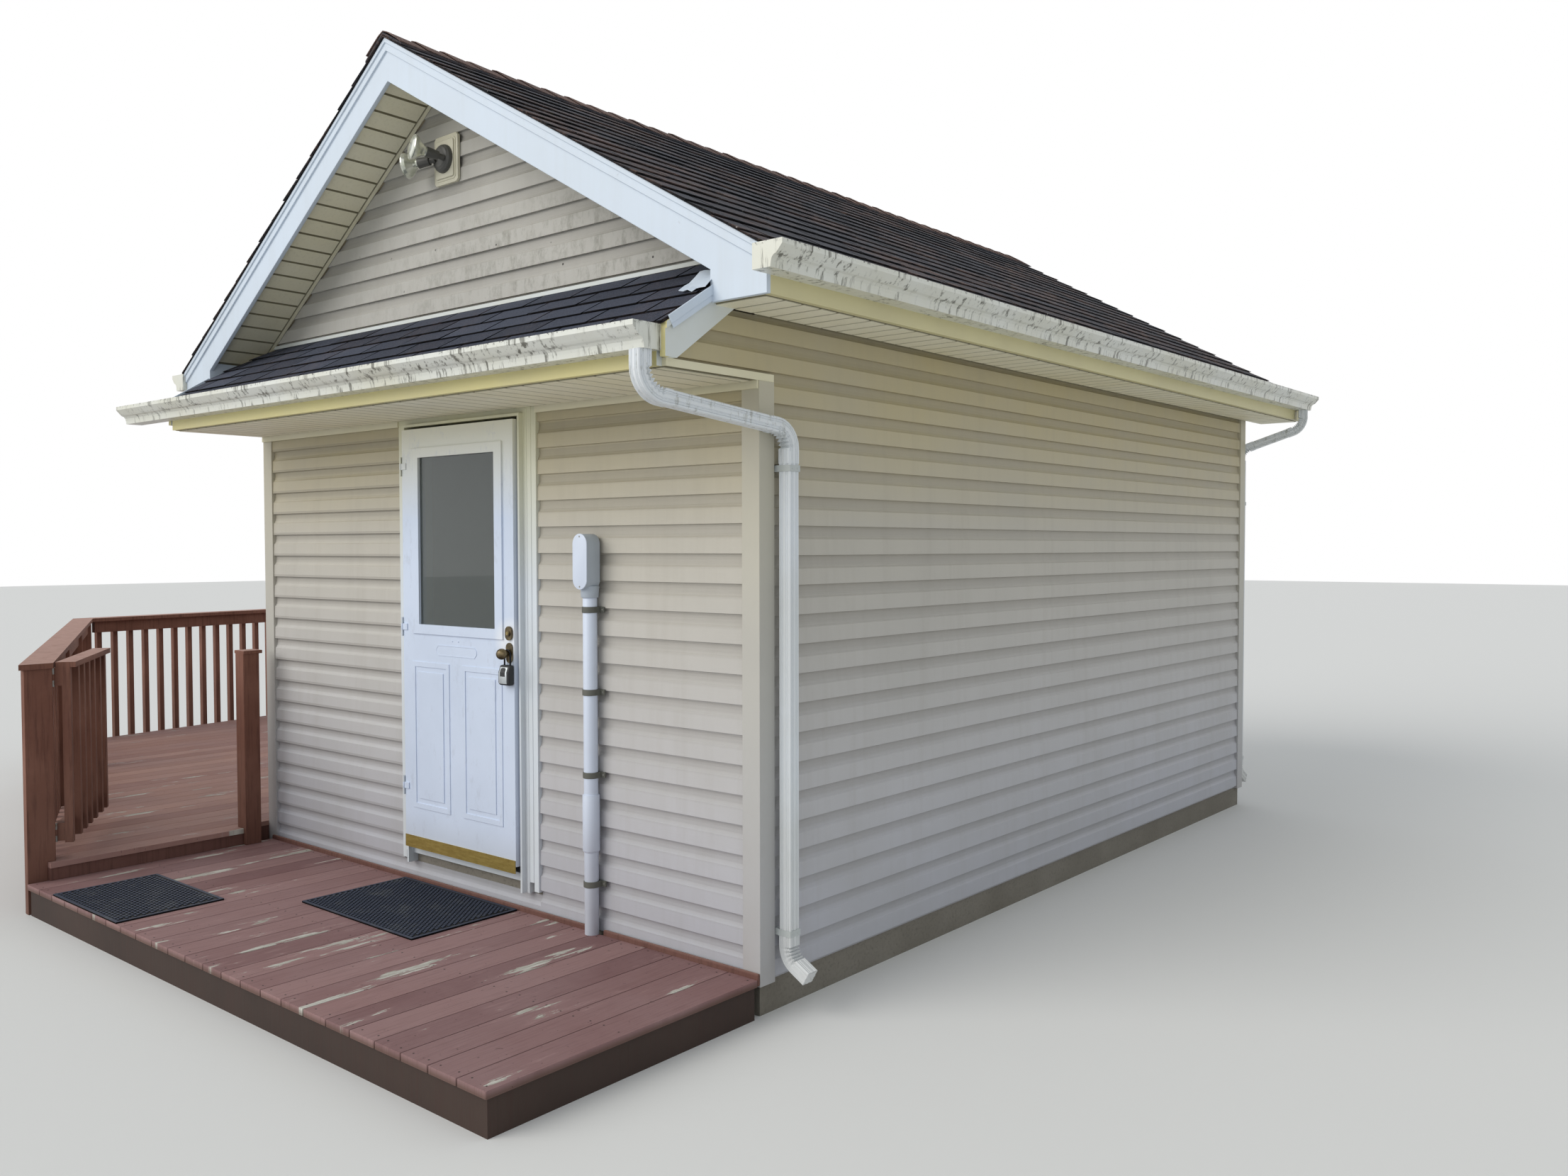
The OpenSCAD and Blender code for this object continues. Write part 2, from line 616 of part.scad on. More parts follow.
panel_z = [door_z + 168, pane_z0 - glazing_w[1] - 134];
panel_x = [door_x - 202, door_x + 190];
emboss = 4;
module pane_hole(grow_x, grow_z, y0, y1) {
    box(pane_x - pane_w / 2 - grow_x, pane_x + pane_w / 2 + grow_x, y0, y1, pane_z0 - grow_z, pane_z1 + grow_z);
}
module panel(x, inset, y1) {
    half = panel_w / 2 - inset;
    box(x - half, x + half, leaf_y - emboss, y1, panel_z[0] + inset, panel_z[1] - inset);
}
module door_leaf() {
    color("aliceblue") {
        difference() {
            union() {
                box(leaf_x0, leaf_x1, leaf_y, leaf_y + door_t, door_z, leaf_z1);
                pane_hole(glazing_w[0], glazing_w[1], leaf_y - glazing_t, leaf_y);
                for (x = panel_x) difference() {
                    panel(x, 0, leaf_y);
                    panel(x, 24, leaf_y);
                }
                for (x = panel_x) panel(x, 48, leaf_y);
            }
            pane_hole(0, 0, leaf_y - 20, leaf_y + door_t + 1);
        }
        for (z = hinge_zs) translate([hinge_pin[0], hinge_pin[1], z + 30.3]) difference() {
            union() {
                cylinder(r = hinge_r, h = 30);
                cube([40, 5, 30]);
            }
            translate([0, 0, -1]) cylinder(r = 3.3, h = 32);
        }
    }
}
module door_glass() {
    color("lightblue") pane_hole(0, 0, leaf_y + 5, leaf_y + 21);
}
module door_sweep() {
    color("gold") box(leaf_x0 + 2, leaf_x1 - 2, leaf_y - 4, leaf_y, door_z - 30, door_z + 28);
}
lock_x = leaf_x1 - 30;
knob_z = 1304;
bolt_z = 1393;
neck_r = 12;
// An upright form with round ends, drawn in X and Z and drawn out towards -Y
module oblong(w, z0, z1, t) {
    rotate([90, 0, 0]) linear_extrude(t) {
        translate([-w / 2, z0 + w / 2]) square([w, z1 - z0 - w]);
        translate([0, z0 + w / 2]) circle(w / 2);
        translate([0, z1 - w / 2]) circle(w / 2);
    }
}
module door_lock() {
    color("darkgoldenrod") translate([lock_x, leaf_y, 0]) {
        oblong(46, knob_z - 42, knob_z + 47, 5);
        translate([0, 0, knob_z]) rotate([90, 0, 0]) {
            cylinder(r = neck_r, h = 30);
            translate([0, 0, 45]) sphere(r = 24.5);
        }
        oblong(46, bolt_z - 31, bolt_z + 31, 9);
        translate([0, 0, bolt_z]) rotate([90, 0, 0]) cylinder(r = 13, h = 14);
    }
}
shackle_r = 20;
shackle_wire = 4;
// The shackle hangs on the neck of the knob
shackle_z = knob_z + neck_r + seat - (shackle_r - shackle_wire);
shackle_y = leaf_y - 14;
lockbox_w = 70;
lockbox_h = 90;
lockbox_top = knob_z - 49;
module lockbox() {
    color("dimgray") {
        along_x(lock_x - lockbox_w / 2, lock_x + lockbox_w / 2) translate([leaf_y, lockbox_top - lockbox_h])
            polygon([[-6, 0], [-32, 0], [-40, 8], [-40, 58], [-26, lockbox_h], [-6, lockbox_h]]);
        translate([lock_x, shackle_y, shackle_z]) rotate([90, 0, 0]) rotate_extrude(angle = 180)
            translate([shackle_r, 0]) circle(r = shackle_wire);
        for (s = [-1, 1]) translate([lock_x + s * shackle_r, shackle_y, lockbox_top])
            cylinder(r = shackle_wire, h = shackle_z - lockbox_top);
    }
}

// Conduit up the front wall: a pipe with a coupling, straps, and an outlet body at its top
conduit_x = 917;
conduit_r = 30;
coupling_t = 6;
coupling_zs = [501, 740];
conduit_y = -sy - conduit_r - coupling_t - seat;
outlet_w = 87;
outlet_d = 76;
outlet_gap = 16;                // how far the outlet body stands off the siding
outlet_zs = [1597, 1828];
neck_zs = [1560, 1620];
strap_zs = [352, 810, 1156, 1500];
strap_w = 110;
strap_h = 25;
strap_t = 8;
module conduit() {
    color("silver") {
        translate([conduit_x, conduit_y, deck_z]) cylinder(r = conduit_r, h = outlet_zs[0] - 9 - deck_z);
        for (zs = [coupling_zs, neck_zs]) translate([conduit_x, conduit_y, zs[0]])
            cylinder(r = conduit_r + coupling_t, h = zs[1] - zs[0]);
        translate([conduit_x, -sy - outlet_gap, 0]) oblong(outlet_w, outlet_zs[0], outlet_zs[1], outlet_d);
        for (z = strap_zs) {
            translate([conduit_x, conduit_y, z]) cylinder(r = conduit_r + strap_t / 2, h = strap_h);
            box(conduit_x - strap_w / 2, conduit_x + strap_w / 2, -sy - strap_t, -sy, z, z + strap_h);
        }
    }
}

lamp_at = [ridge_x + 43.5, -sy - 24, ridge_z - 481];
lamp_ways = [[-25, 10, -18], [28, -8, -62]];   // lean to the side, rise and turn of each lamp
module lamp_frame(k) {
    translate([lamp_at[0] + (k == 0 ? 34 : -34), lamp_at[1] - 34, lamp_at[2] - 6])
        rotate([0, 0, lamp_ways[k][2]]) rotate([90 - lamp_ways[k][1], 0, 0]) children();
}
// A plate with clipped corners
module clipped_plate(w, h, clip, t) {
    x = w / 2;
    y = h / 2;
    linear_extrude(t) polygon([[clip - x, -y], [x - clip, -y], [x, clip - y], [x, y - clip],
        [x - clip, y], [clip - x, y], [-x, y - clip], [-x, clip - y]]);
}
canopy_line = [[0, 0], [65, 0], [65, 7], [61, 17], [52, 25], [40, 29], [0, 30]];
module floodlight() {
    translate([lamp_at[0], -sy, lamp_at[2]]) rotate([90, 0, 0]) color("white") {
        clipped_plate(180, 224, 14, 14);
        clipped_plate(136, 172, 8, 24);
    }
    color("dimgray") {
        translate(lamp_at) rotate([90, 0, 0]) rotate_extrude() polygon(canopy_line);
        for (k = [0, 1]) lamp_frame(k) {
            translate([0, 0, -8]) cylinder(r = 13, h = 30);
            translate([0, 0, 20]) cylinder(r1 = 20, r2 = 24, h = 55);
        }
    }
}
// Reflector bulbs: a neck that swells to the rim, and a shallow domed face
bulb_r = 58;
bulb_line = [[0, 75.3], [20, 75.3], [21, 84], [28, 95], [41, 109], [52, 122], [bulb_r, 134], [bulb_r, 139],
    [bulb_r - 4, 143], [38, 149], [19, 152.5], [0, 153.5]];
module lamps() {
    color("lightyellow") for (k = [0, 1]) lamp_frame(k) rotate_extrude() polygon(bulb_line);
}

// Entry deck
module boards(x0, x1, y0, y1, z) {
    n = floor((x1 - x0 + board_gap) / (board_w + board_gap));
    w = (x1 - x0 + board_gap) / n - board_gap;
    for (k = [0:n - 1]) box(x0 + k * (w + board_gap), x0 + k * (w + board_gap) + w, y0, y1, z - board_t, z);
}
module entry_deck_boards() {
    color("rosybrown") boards(deck_x0, hw, deck_y0, -hd - trim_y, deck_z);
}
joist_t = 38;
rim_inset = 10;                 // how far the beams stand back under the ends of the boards
entry_beam_ys = [deck_y0 + 12, -hd - 700, -hd - 60];
module entry_deck_frame() {
    z1 = deck_z - board_t;
    x0 = deck_x0 + rim_inset;
    x1 = hw - rim_inset;
    color("saddlebrown") {
        for (y = entry_beam_ys) box(x0, x1, y, y + joist_t, 0, z1);
        for (x = [x0, x1 - joist_t], k = [0, 1])
            box(x, x + joist_t, entry_beam_ys[k] + joist_t + seat, entry_beam_ys[k + 1] - seat, 0, z1);
    }
}
wall_trim_h = 48;
wall_trim_gap = 50;             // from the conduit's middle to the cut ends of the wall trim
module wall_base_trim() {
    z = deck_z - board_t;
    color("brown") {
        box(deck_x0, conduit_x - wall_trim_gap, -hd - trim_y, -hd, z, z + wall_trim_h);
        box(conduit_x + wall_trim_gap, hw, -hd - trim_y, -hd, z, z + wall_trim_h);
    }
}
mat_t = 9;
door_mat = [865, 542];
door_mat_at = [door_x - 473, -hd - 22.5 - door_mat[1]];
gate_mat = [687, 473.5];
gate_mat_at = [deck_x0 + 305, deck_y0 + 4];
module doormats() {
    color("black") {
        translate([door_mat_at[0], door_mat_at[1], deck_z]) cube([door_mat[0], door_mat[1], mat_t]);
        translate([gate_mat_at[0], gate_mat_at[1], deck_z]) cube([gate_mat[0], gate_mat[1], mat_t]);
    }
}

// Side deck: a floor with four sides, carried by beams on short posts
function lerp(a, b, t) = a + (b - a) * t;
function run_len(a, b) = norm(b - a);
function run_dir(a, b) = atan2(b[1] - a[1], b[0] - a[0]);
post_d = [-hw - post_w / 2 - 6, post_c[1]];    // post of the rear railing at the wall
strip_y0 = post_a[1] + post_w / 2;             // the strip beside the corner post carries the gate
strip_y1 = strip_y0 + rail_t;
square_posts = [lerp(rail_start, post_b, 0.36), lerp(rail_start, post_b, 0.68), post_b, post_c,
    lerp(post_c, post_d, 0.5), post_d];
module side_outline() {
    h = post_w / 2;
    x1 = latch[0] - h;
    polygon([[nose_x, strip_y0 - 1], [nose_x, latch[1] - h], [x1, latch[1] - h], [x1, latch[1] + h],
        [-hw - 4, latch[1] + h], [-hw - 4, post_c[1]], post_c, post_b, rail_start, [rail_start[0], strip_y0 - 1]]);
}
module post_at(p, z1) {
    translate([p[0] - post_w / 2, p[1] - post_w / 2, 0]) cube([post_w, post_w, z1]);
}
// Room for the posts in whatever meets them
module posts_clear() {
    for (p = square_posts) translate([p[0] - post_w / 2 - 1, p[1] - post_w / 2 - 1, 0])
        cube([post_w + 2, post_w + 2, rail_z]);
    translate([post_a[0] - rail_t / 2 - 1, post_a[1] - post_w / 2 - 1, 0]) cube([100, post_w + 2, rail_z]);
    translate([post_a[0] + rail_t / 2 - post_w - 1, strip_y0 - 1, side_z])
        cube([post_w + 2, rail_t + 2, rail_z]);
}
module side_deck_boards() {
    w = board_w + board_gap;
    color("rosybrown") difference() {
        for (x = [nose_x - board_w:-w:post_c[0] - board_w]) intersection() {
            translate([x, deck_y0, side_z - board_t]) cube([board_w, post_c[1] - deck_y0, board_t]);
            translate([0, 0, side_z - board_t]) linear_extrude(board_t) side_outline();
        }
        posts_clear();
    }
}
function unit(p, q) = (q - p) / norm(q - p);
function right_of(p, q) = [unit(p, q)[1], -unit(p, q)[0]];
// Inner corner of a strip of width w that turns at q
function mitre(p, q, r, w) = let (a = right_of(p, q), b = right_of(q, r)) q + w * (a + b) / (1 + a * b);
// A beam on edge from p to q with its inner corners at s and t, a seat shorter at both ends
module rim_beam(p, q, s, t, z0, z1) {
    gap = seat * unit(p, q) / 2;
    translate([0, 0, z0]) linear_extrude(z1 - z0) polygon([p + gap, q - gap, t - gap, s + gap]);
}
// Where a joist at y starts, beside the inner face of the outer beams
function line_x(p, q, y) = p[0] + (y - p[1]) * (q[0] - p[0]) / (q[1] - p[1]);
function joist_x(y) = let (p = y < post_b[1] ? rail_start : post_b, q = y < post_b[1] ? post_b : post_c)
    seat + line_x(p, q, y) + rail_t / unit(p, q)[1];
joist_step = 610;
joist_y0 = post_a[1] + 632.5;
joist_ys = [joist_y0:joist_step:post_c[1] - 100];
beam_z0 = 75;
pier_w = 90;
pier_xs = [for (d = [450, 1650, 2800]) post_b[0] + d];
module side_deck_frame() {
    z1 = side_z - board_t;
    inner_a = rail_start + rail_t * right_of(rail_start, post_b);
    inner_b = mitre(rail_start, post_b, post_c, rail_t);
    inner_c = mitre(post_b, post_c, post_d, rail_t);
    inner_d = post_d + rail_t * right_of(post_c, post_d);
    color("saddlebrown") {
        box(deck_x0, deck_x0 + 18, strip_y0 + 2, latch[1] - post_w / 2 - 2, deck_z + seat, z1);
        difference() {
            union() {
                rim_beam(rail_start, post_b, inner_a, inner_b, beam_z0, z1);
                rim_beam(post_b, post_c, inner_b, inner_c, beam_z0, z1);
                rim_beam(post_c, post_d, inner_c, inner_d, beam_z0, z1);
                box(-hw - 8 - rail_t, -hw - 8, latch[1] + post_w, post_c[1] - rail_t - 20, beam_z0, z1);
                for (y = joist_ys) box(joist_x(y), -hw - 8 - rail_t - seat, y, y + rail_t, beam_z0, z1);
            }
            posts_clear();
            box(deck_x0 - seat, deck_x0 + 100, strip_y0 - 10, strip_y0 + 20, 0, side_z);
        }
        for (k = [1, 4], x = pier_xs) {
            y = joist_y0 + k * joist_step + (joist_t - pier_w) / 2;
            if (x > joist_x(y)) box(x, x + pier_w, y, y + pier_w, 0, beam_z0 - seat);
        }
    }
}
latch_cap_t = 18;
latch_cap_out = 8;
module deck_posts() {
    z1 = rail_z - cap_t;
    latch_z1 = rail_z - latch_cap_t;
    cap = post_w + 2 * latch_cap_out;
    color("sienna") {
        for (p = square_posts) post_at(p, z1);
        translate([post_a[0] - rail_t / 2, post_a[1] - post_w / 2, 0]) cube([rail_t, post_w, z1]);
        translate([post_a[0] + rail_t / 2 - post_w, strip_y0, side_z]) cube([post_w, rail_t, z1 - side_z]);
        translate([latch[0] - post_w / 2, latch[1] - post_w / 2, 0]) {
            translate([0, 0, deck_z]) cube([post_w, post_w, latch_z1 - deck_z]);
            translate([-latch_cap_out, 0, latch_z1]) cube([cap, cap, latch_cap_t]);
        }
    }
}
// A run of railing from a to b: a cap with mitred ends over the posts, a rail on the
// inner side, and square balusters on the outer side that reach down over the rim
module railing(a, b, n, m0, m1, out0, out1) {
    l = run_len(a, b);
    w = cap_w / 2;
    z1 = rail_z - cap_t;
    inset = post_w * 0.8;
    translate([a[0], a[1], 0]) rotate([0, 0, run_dir(a, b)]) {
        translate([0, 0, z1]) linear_extrude(cap_t)
            polygon([[-out0 - w * tan(m0), w], [l + out1 + w * tan(m1), w],
                [l + out1 - w * tan(m1), -w], [-out0 + w * tan(m0), -w]]);
        difference() {
            union() {
                translate([inset, -rail_t, z1 - rail_h]) cube([l - 2 * inset, rail_t, rail_h]);
                for (k = [1:n]) translate([l * k / (n + 1) - rail_t / 2, seat, baluster_z0])
                    cube([rail_t, rail_t, z1 - baluster_z0]);
            }
            rotate([0, 0, -run_dir(a, b)]) translate([-a[0], -a[1], 0]) posts_clear();
        }
    }
}
turn_b = (run_dir(rail_start, post_b) - run_dir(post_b, post_c)) / 2;
turn_c = (run_dir(post_b, post_c) - run_dir(post_c, post_d)) / 2;
square_end = 180 - run_dir(rail_start, post_b);
module railing_front() { color("sienna") railing(rail_start, post_b, 32, square_end, turn_b, 0, -seat); }
module railing_left() { color("sienna") railing(post_b, post_c, 15, turn_b, turn_c, -seat, -seat); }
module railing_rear() { color("sienna") railing(post_c, post_d, 31, turn_c, 0, -seat, post_w / 2); }

// The gate is shown standing open, its cap beside the railing's cap
gate_start = 10;
gate_bars = [0, 186, 316, 444, 577, 731];
gate_hinge_z = [side_z + 89, rail_z - cap_t - 92];
gate_knuckle_r = 7;
gate_cap = [-98, 88];           // the gate's cap: where it starts across the leaf, and its width
gate_rail_y = -36;
gate_z0 = side_z + 80;          // lower ends of the gate's bars
module gate_leaf() {
    z1 = rail_z - cap_t;
    color("sienna") translate([gate_pin[0], gate_pin[1], 0]) rotate([0, 0, gate_rest]) {
        translate([gate_start, gate_cap[0], z1]) cube([gate_l, gate_cap[1], cap_t]);
        for (z = [z1 - rail_h, gate_z0 + 10]) translate([gate_start, gate_rail_y, z]) cube([gate_l, rail_t, rail_h]);
        for (x = concat(gate_bars, [gate_l - rail_t])) translate([gate_start + x, gate_rail_y - rail_t, gate_z0])
            cube([rail_t, rail_t, z1 - gate_z0]);
        for (z = gate_hinge_z) translate([0, 0, z + 30.3]) difference() {
            union() {
                cylinder(r = gate_knuckle_r, h = 30);
                translate([0, -5, 0]) cube([gate_start + 1, 7, 30]);
            }
            translate([0, 0, -1]) cylinder(r = 4.3, h = 32);
        }
    }
}
module gate_hinges() {
    color("dimgray") for (z = gate_hinge_z) translate([gate_pin[0], gate_pin[1], z]) {
        for (h = [0, 60.6]) translate([0, 0, h]) {
            cylinder(r = gate_knuckle_r, h = 30);
            translate([-4, strip_y1 - gate_pin[1], 0]) cube([8, gate_pin[1] - strip_y1, 30]);
        }
        translate([0, 0, 30]) cylinder(r = 4, h = 30.6);
    }
}

foundation();
floor();
front_wall_left();
front_wall_right();
front_wall_over_door();
left_wall();
right_wall();
rear_wall();
gable_walls();
siding_front();
siding_left();
siding_right();
siding_rear();
siding_gables();
corner_posts();
roof_right();
roof_left();
shingles_right();
shingles_left();
ridge_cap();
rake_boards();
rake_soffits();
eave_fascias();
eave_soffits();
pent_roof();
pent_shingles();
pent_soffit();
pent_cheeks();
pent_trim();
eave_gutters();
pent_gutter();
front_downspout();
rear_downspout();
door_frame();
door_hinges();
door_leaf();
door_glass();
door_sweep();
door_lock();
lockbox();
conduit();
floodlight();
lamps();
entry_deck_boards();
entry_deck_frame();
wall_base_trim();
doormats();
side_deck_boards();
side_deck_frame();
deck_posts();
railing_front();
railing_left();
railing_rear();
gate_leaf();
gate_hinges();
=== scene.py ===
# Boathouse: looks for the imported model. Metres, the same frame as the CAD: +Z up, door wall towards -Y.
import bmesh
import bpy
import math
import random
from mathutils import Matrix, Vector


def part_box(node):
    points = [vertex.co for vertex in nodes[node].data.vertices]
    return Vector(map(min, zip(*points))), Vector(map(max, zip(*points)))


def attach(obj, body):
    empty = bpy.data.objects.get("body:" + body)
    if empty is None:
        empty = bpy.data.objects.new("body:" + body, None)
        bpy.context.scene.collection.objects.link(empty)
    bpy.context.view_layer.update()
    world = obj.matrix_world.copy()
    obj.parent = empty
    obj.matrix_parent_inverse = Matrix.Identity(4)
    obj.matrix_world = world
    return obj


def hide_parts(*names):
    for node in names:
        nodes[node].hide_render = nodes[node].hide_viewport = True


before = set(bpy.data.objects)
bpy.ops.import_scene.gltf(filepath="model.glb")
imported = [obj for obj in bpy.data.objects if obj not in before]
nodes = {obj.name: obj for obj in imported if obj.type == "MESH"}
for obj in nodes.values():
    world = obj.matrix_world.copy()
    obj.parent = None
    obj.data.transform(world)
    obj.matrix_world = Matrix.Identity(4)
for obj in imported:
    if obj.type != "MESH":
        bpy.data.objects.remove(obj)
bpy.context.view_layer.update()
random.seed(41)

# Camera: it stands where the photograph was taken from, at eye height in front of the door
# wall and well to its right. The lens is a plain wide one, with no shift.
IMAGE_W = 2212
FOCAL_PX = 1755.2
SENSOR = 36.0
CAMERA_AT = (4.8395, -6.0225, 1.770)
TURN, DROP, ROLL = 39.72, 1.87, -0.08
camera_data = bpy.data.cameras.new("camera")
camera_data.sensor_width = SENSOR
camera_data.lens = SENSOR * FOCAL_PX / IMAGE_W
camera_data.clip_end = 200
camera = bpy.data.objects.new("camera", camera_data)
bpy.context.scene.collection.objects.link(camera)
camera.matrix_world = (
    Matrix.Translation(CAMERA_AT)
    @ Matrix.Rotation(math.radians(TURN), 4, "Z")
    @ Matrix.Rotation(math.radians(90 - DROP), 4, "X")
    @ Matrix.Rotation(math.radians(ROLL), 4, "Z")
)
bpy.context.scene.camera = camera
bpy.context.scene.view_settings.view_transform = "Standard"


# Studio: a wide pale floor under a white background, a plain grey-blue sky for soft light all
# round, and one broad soft lamp from the front left, so the door wall is the bright one.
def paint(r, g, b):
    """An sRGB colour, 0 to 255, as linear RGBA."""
    shares = [v / 255 for v in (r, g, b)]
    return tuple(s / 12.92 if s <= 0.04045 else ((s + 0.055) / 1.055) ** 2.4 for s in shares) + (1.0,)


def put(tree, kind, settings=None, **values):
    """Adds a node to a tree. Its inputs take numbers, colours or other nodes' sockets."""
    made = tree.nodes.new(kind)
    for key, value in (settings or {}).items():
        setattr(made, key, value)
    for key, value in values.items():
        socket = made.inputs[int(key[1:])] if key[1:].isdigit() else made.inputs[key.replace("_", " ")]
        if isinstance(value, bpy.types.NodeSocket):
            tree.links.new(value, socket)
        else:
            socket.default_value = value
    return made


def sums(tree, operation, a, b=0.0):
    """One Math node. Returns its output."""
    return put(tree, "ShaderNodeMath", {"operation": operation}, i0=a, i1=b).outputs[0]


def times(tree, a, b):
    """The product of two values."""
    return sums(tree, "MULTIPLY", a, b)


def mix(tree, share, first, second):
    """One colour Mix node. Returns its output."""
    return put(tree, "ShaderNodeMix", {"data_type": "RGBA"}, i0=share, i6=first, i7=second).outputs[2]


def over(tree, tone, mask, share, colour):
    """Lays a colour over a tone where a mask says, at most by a share."""
    return mix(tree, times(tree, mask, share), tone, colour)


def band(tree, value, low, high):
    """A value's stretch from low to high, spread over 0 to 1 and clamped there."""
    return put(tree, "ShaderNodeMapRange", {}, i0=value, i1=low, i2=high).outputs[0]


def here(tree):
    """The place on the object: the whole vector and its X, Y and Z."""
    vector = put(tree, "ShaderNodeTexCoord").outputs["Object"]
    parts = put(tree, "ShaderNodeSeparateXYZ", {}, Vector=vector).outputs
    return vector, parts["X"], parts["Y"], parts["Z"]


def noise(tree, vector, stretch, scale, detail=5.0, roughness=0.6):
    """Noise on a stretched place. Returns its value."""
    moved = put(tree, "ShaderNodeMapping", {}, Vector=vector, Scale=stretch).outputs[0]
    values = {"Scale": scale, "Detail": detail, "Roughness": roughness}
    return put(tree, "ShaderNodeTexNoise", {}, Vector=moved, **values).outputs[0]


world = bpy.data.worlds.new("studio")
world.use_nodes = True
bpy.context.scene.world = world
sky_tree = world.node_tree
path = put(sky_tree, "ShaderNodeLightPath").outputs
seen = sums(sky_tree, "MAXIMUM", path["Is Camera Ray"], path["Is Transmission Ray"])
seen = sums(sky_tree, "MAXIMUM", seen, path["Is Glossy Ray"])
soft_sky = sky_tree.nodes["Background"]
soft_sky.inputs["Color"].default_value = (0.93, 0.97, 1.0, 1.0)
soft_sky.inputs["Strength"].default_value = 0.62
white_back = put(sky_tree, "ShaderNodeBackground", {}, Color=(1, 1, 1, 1), Strength=1.0)
both = put(sky_tree, "ShaderNodeMixShader", {}, i0=seen, i1=soft_sky.outputs[0], i2=white_back.outputs[0])
sky_tree.links.new(both.outputs[0], sky_tree.nodes["World Output"].inputs["Surface"])

lamp_data = bpy.data.lights.new("soft_lamp", "SUN")
lamp_data.energy = 1.7
lamp_data.color = (1.0, 0.97, 0.92)
lamp_data.angle = math.radians(50)
lamp = bpy.data.objects.new("soft_lamp", lamp_data)
bpy.context.scene.collection.objects.link(lamp)
lamp.rotation_euler = Vector((-0.45, -1.0, 0.62)).to_track_quat("Z", "Y").to_euler()


def finish(name, roughness, metallic=0.0, specular=0.5):
    """A new material with its Principled shader. Returns the material, its tree and the shader."""
    made = bpy.data.materials.new(name)
    made.use_nodes = True
    shader = made.node_tree.nodes["Principled BSDF"]
    shader.inputs["Roughness"].default_value = roughness
    shader.inputs["Metallic"].default_value = metallic
    shader.inputs["Specular IOR Level"].default_value = specular
    return made, made.node_tree, shader


def coat(tree, shader, tone):
    """Gives the shader its colour."""
    tree.links.new(tone, shader.inputs["Base Color"])


def bump(tree, shader, heights, distance, strength=1.0):
    """Gives the shader small relief from a height value, in metres."""
    relief = put(tree, "ShaderNodeBump", {}, Height=heights, Distance=distance, Strength=strength)
    tree.links.new(relief.outputs[0], shader.inputs["Normal"])


def dress(material, *names):
    """Gives CAD nodes their material."""
    for name in names:
        for place in nodes[name].material_slots:
            place.material = material


floor_mesh = bmesh.new()
bmesh.ops.create_grid(floor_mesh, x_segments=1, y_segments=1, size=60)
floor_data = bpy.data.meshes.new("studio_floor")
floor_mesh.to_mesh(floor_data)
floor_mesh.free()
studio_floor = bpy.data.objects.new("studio_floor", floor_data)
bpy.context.scene.collection.objects.link(studio_floor)
floor_paint, _, floor_shader = finish("studio_floor", 0.9, specular=0.1)
floor_shader.inputs["Base Color"].default_value = (0.76, 0.76, 0.75, 1)
floor_data.materials.append(floor_paint)

# Shared wear: one node group that turns the place on the object into masks for run-down
# streaks, broad mottling, fine speckle and dirt near the ground.
wear = bpy.data.node_groups.new("wear", "ShaderNodeTree")
for mask in ("Streaks", "Mottle", "Speckle", "Ground"):
    wear.interface.new_socket(mask, in_out="OUTPUT", socket_type="NodeSocketFloat")
wear_out = wear.nodes.new("NodeGroupOutput")
place, _, _, height = here(wear)
runs = noise(wear, place, (9, 9, 0.55), 1.6, 7.0, 0.62)
wear.links.new(band(wear, runs, 0.48, 0.78), wear_out.inputs["Streaks"])
broad = noise(wear, place, (1, 1, 1), 1.7, 8.0)
wear.links.new(band(wear, broad, 0.36, 0.68), wear_out.inputs["Mottle"])
specks = noise(wear, place, (1, 1, 1), 70.0, 4.0, 0.7)
wear.links.new(band(wear, specks, 0.52, 0.72), wear_out.inputs["Speckle"])
ragged = sums(wear, "ADD", height, times(wear, broad, -0.5))
wear.links.new(band(wear, ragged, 0.55, -0.15), wear_out.inputs["Ground"])


def worn(tree):
    """The shared wear masks inside a material. Returns the group node's outputs."""
    return put(tree, "ShaderNodeGroup", {"node_tree": wear}).outputs


def worn_finish(name, roughness, base, *layers, metallic=0.0):
    """A material of one colour under layers of wear, each a mask, its share and its colour."""
    made, tree, shader = finish(name, roughness, metallic)
    masks = worn(tree)
    tone = base
    for mask, share, colour in layers:
        tone = over(tree, tone, masks[mask], share, colour)
    coat(tree, shader, tone)
    return made


# Foundation and inside: a grey concrete base poured in one block, a sheet floor on it, and
# framed walls faced inside with plain boards. Little of these shows from outside.
concrete, tree, shader = finish("concrete", 0.9, specular=0.25)
masks = worn(tree)
tone = mix(tree, masks["Mottle"], paint(128, 124, 116), paint(158, 154, 146))
tone = over(tree, tone, masks["Speckle"], 0.5, paint(96, 92, 86))
tone = over(tree, tone, masks["Ground"], 0.5, paint(104, 98, 86))
coat(tree, shader, tone)
bump(tree, shader, masks["Speckle"], 0.0015)
dress(concrete, "foundation")

sheet_floor = worn_finish("sheet_floor", 0.7, paint(168, 138, 100), ("Mottle", 1.0, paint(188, 158, 118)),
                          ("Speckle", 1.0, paint(138, 108, 76)))
dress(sheet_floor, "floor")

wall_board = worn_finish("wall_board", 0.75, paint(196, 182, 156), ("Mottle", 1.0, paint(210, 198, 174)),
                         ("Speckle", 0.4, paint(160, 142, 114)))
dress(wall_board, "front_wall_left", "front_wall_right", "front_wall_over_door", "left_wall", "right_wall",
      "rear_wall", "gable_walls", "roof_right", "roof_left", "pent_roof")

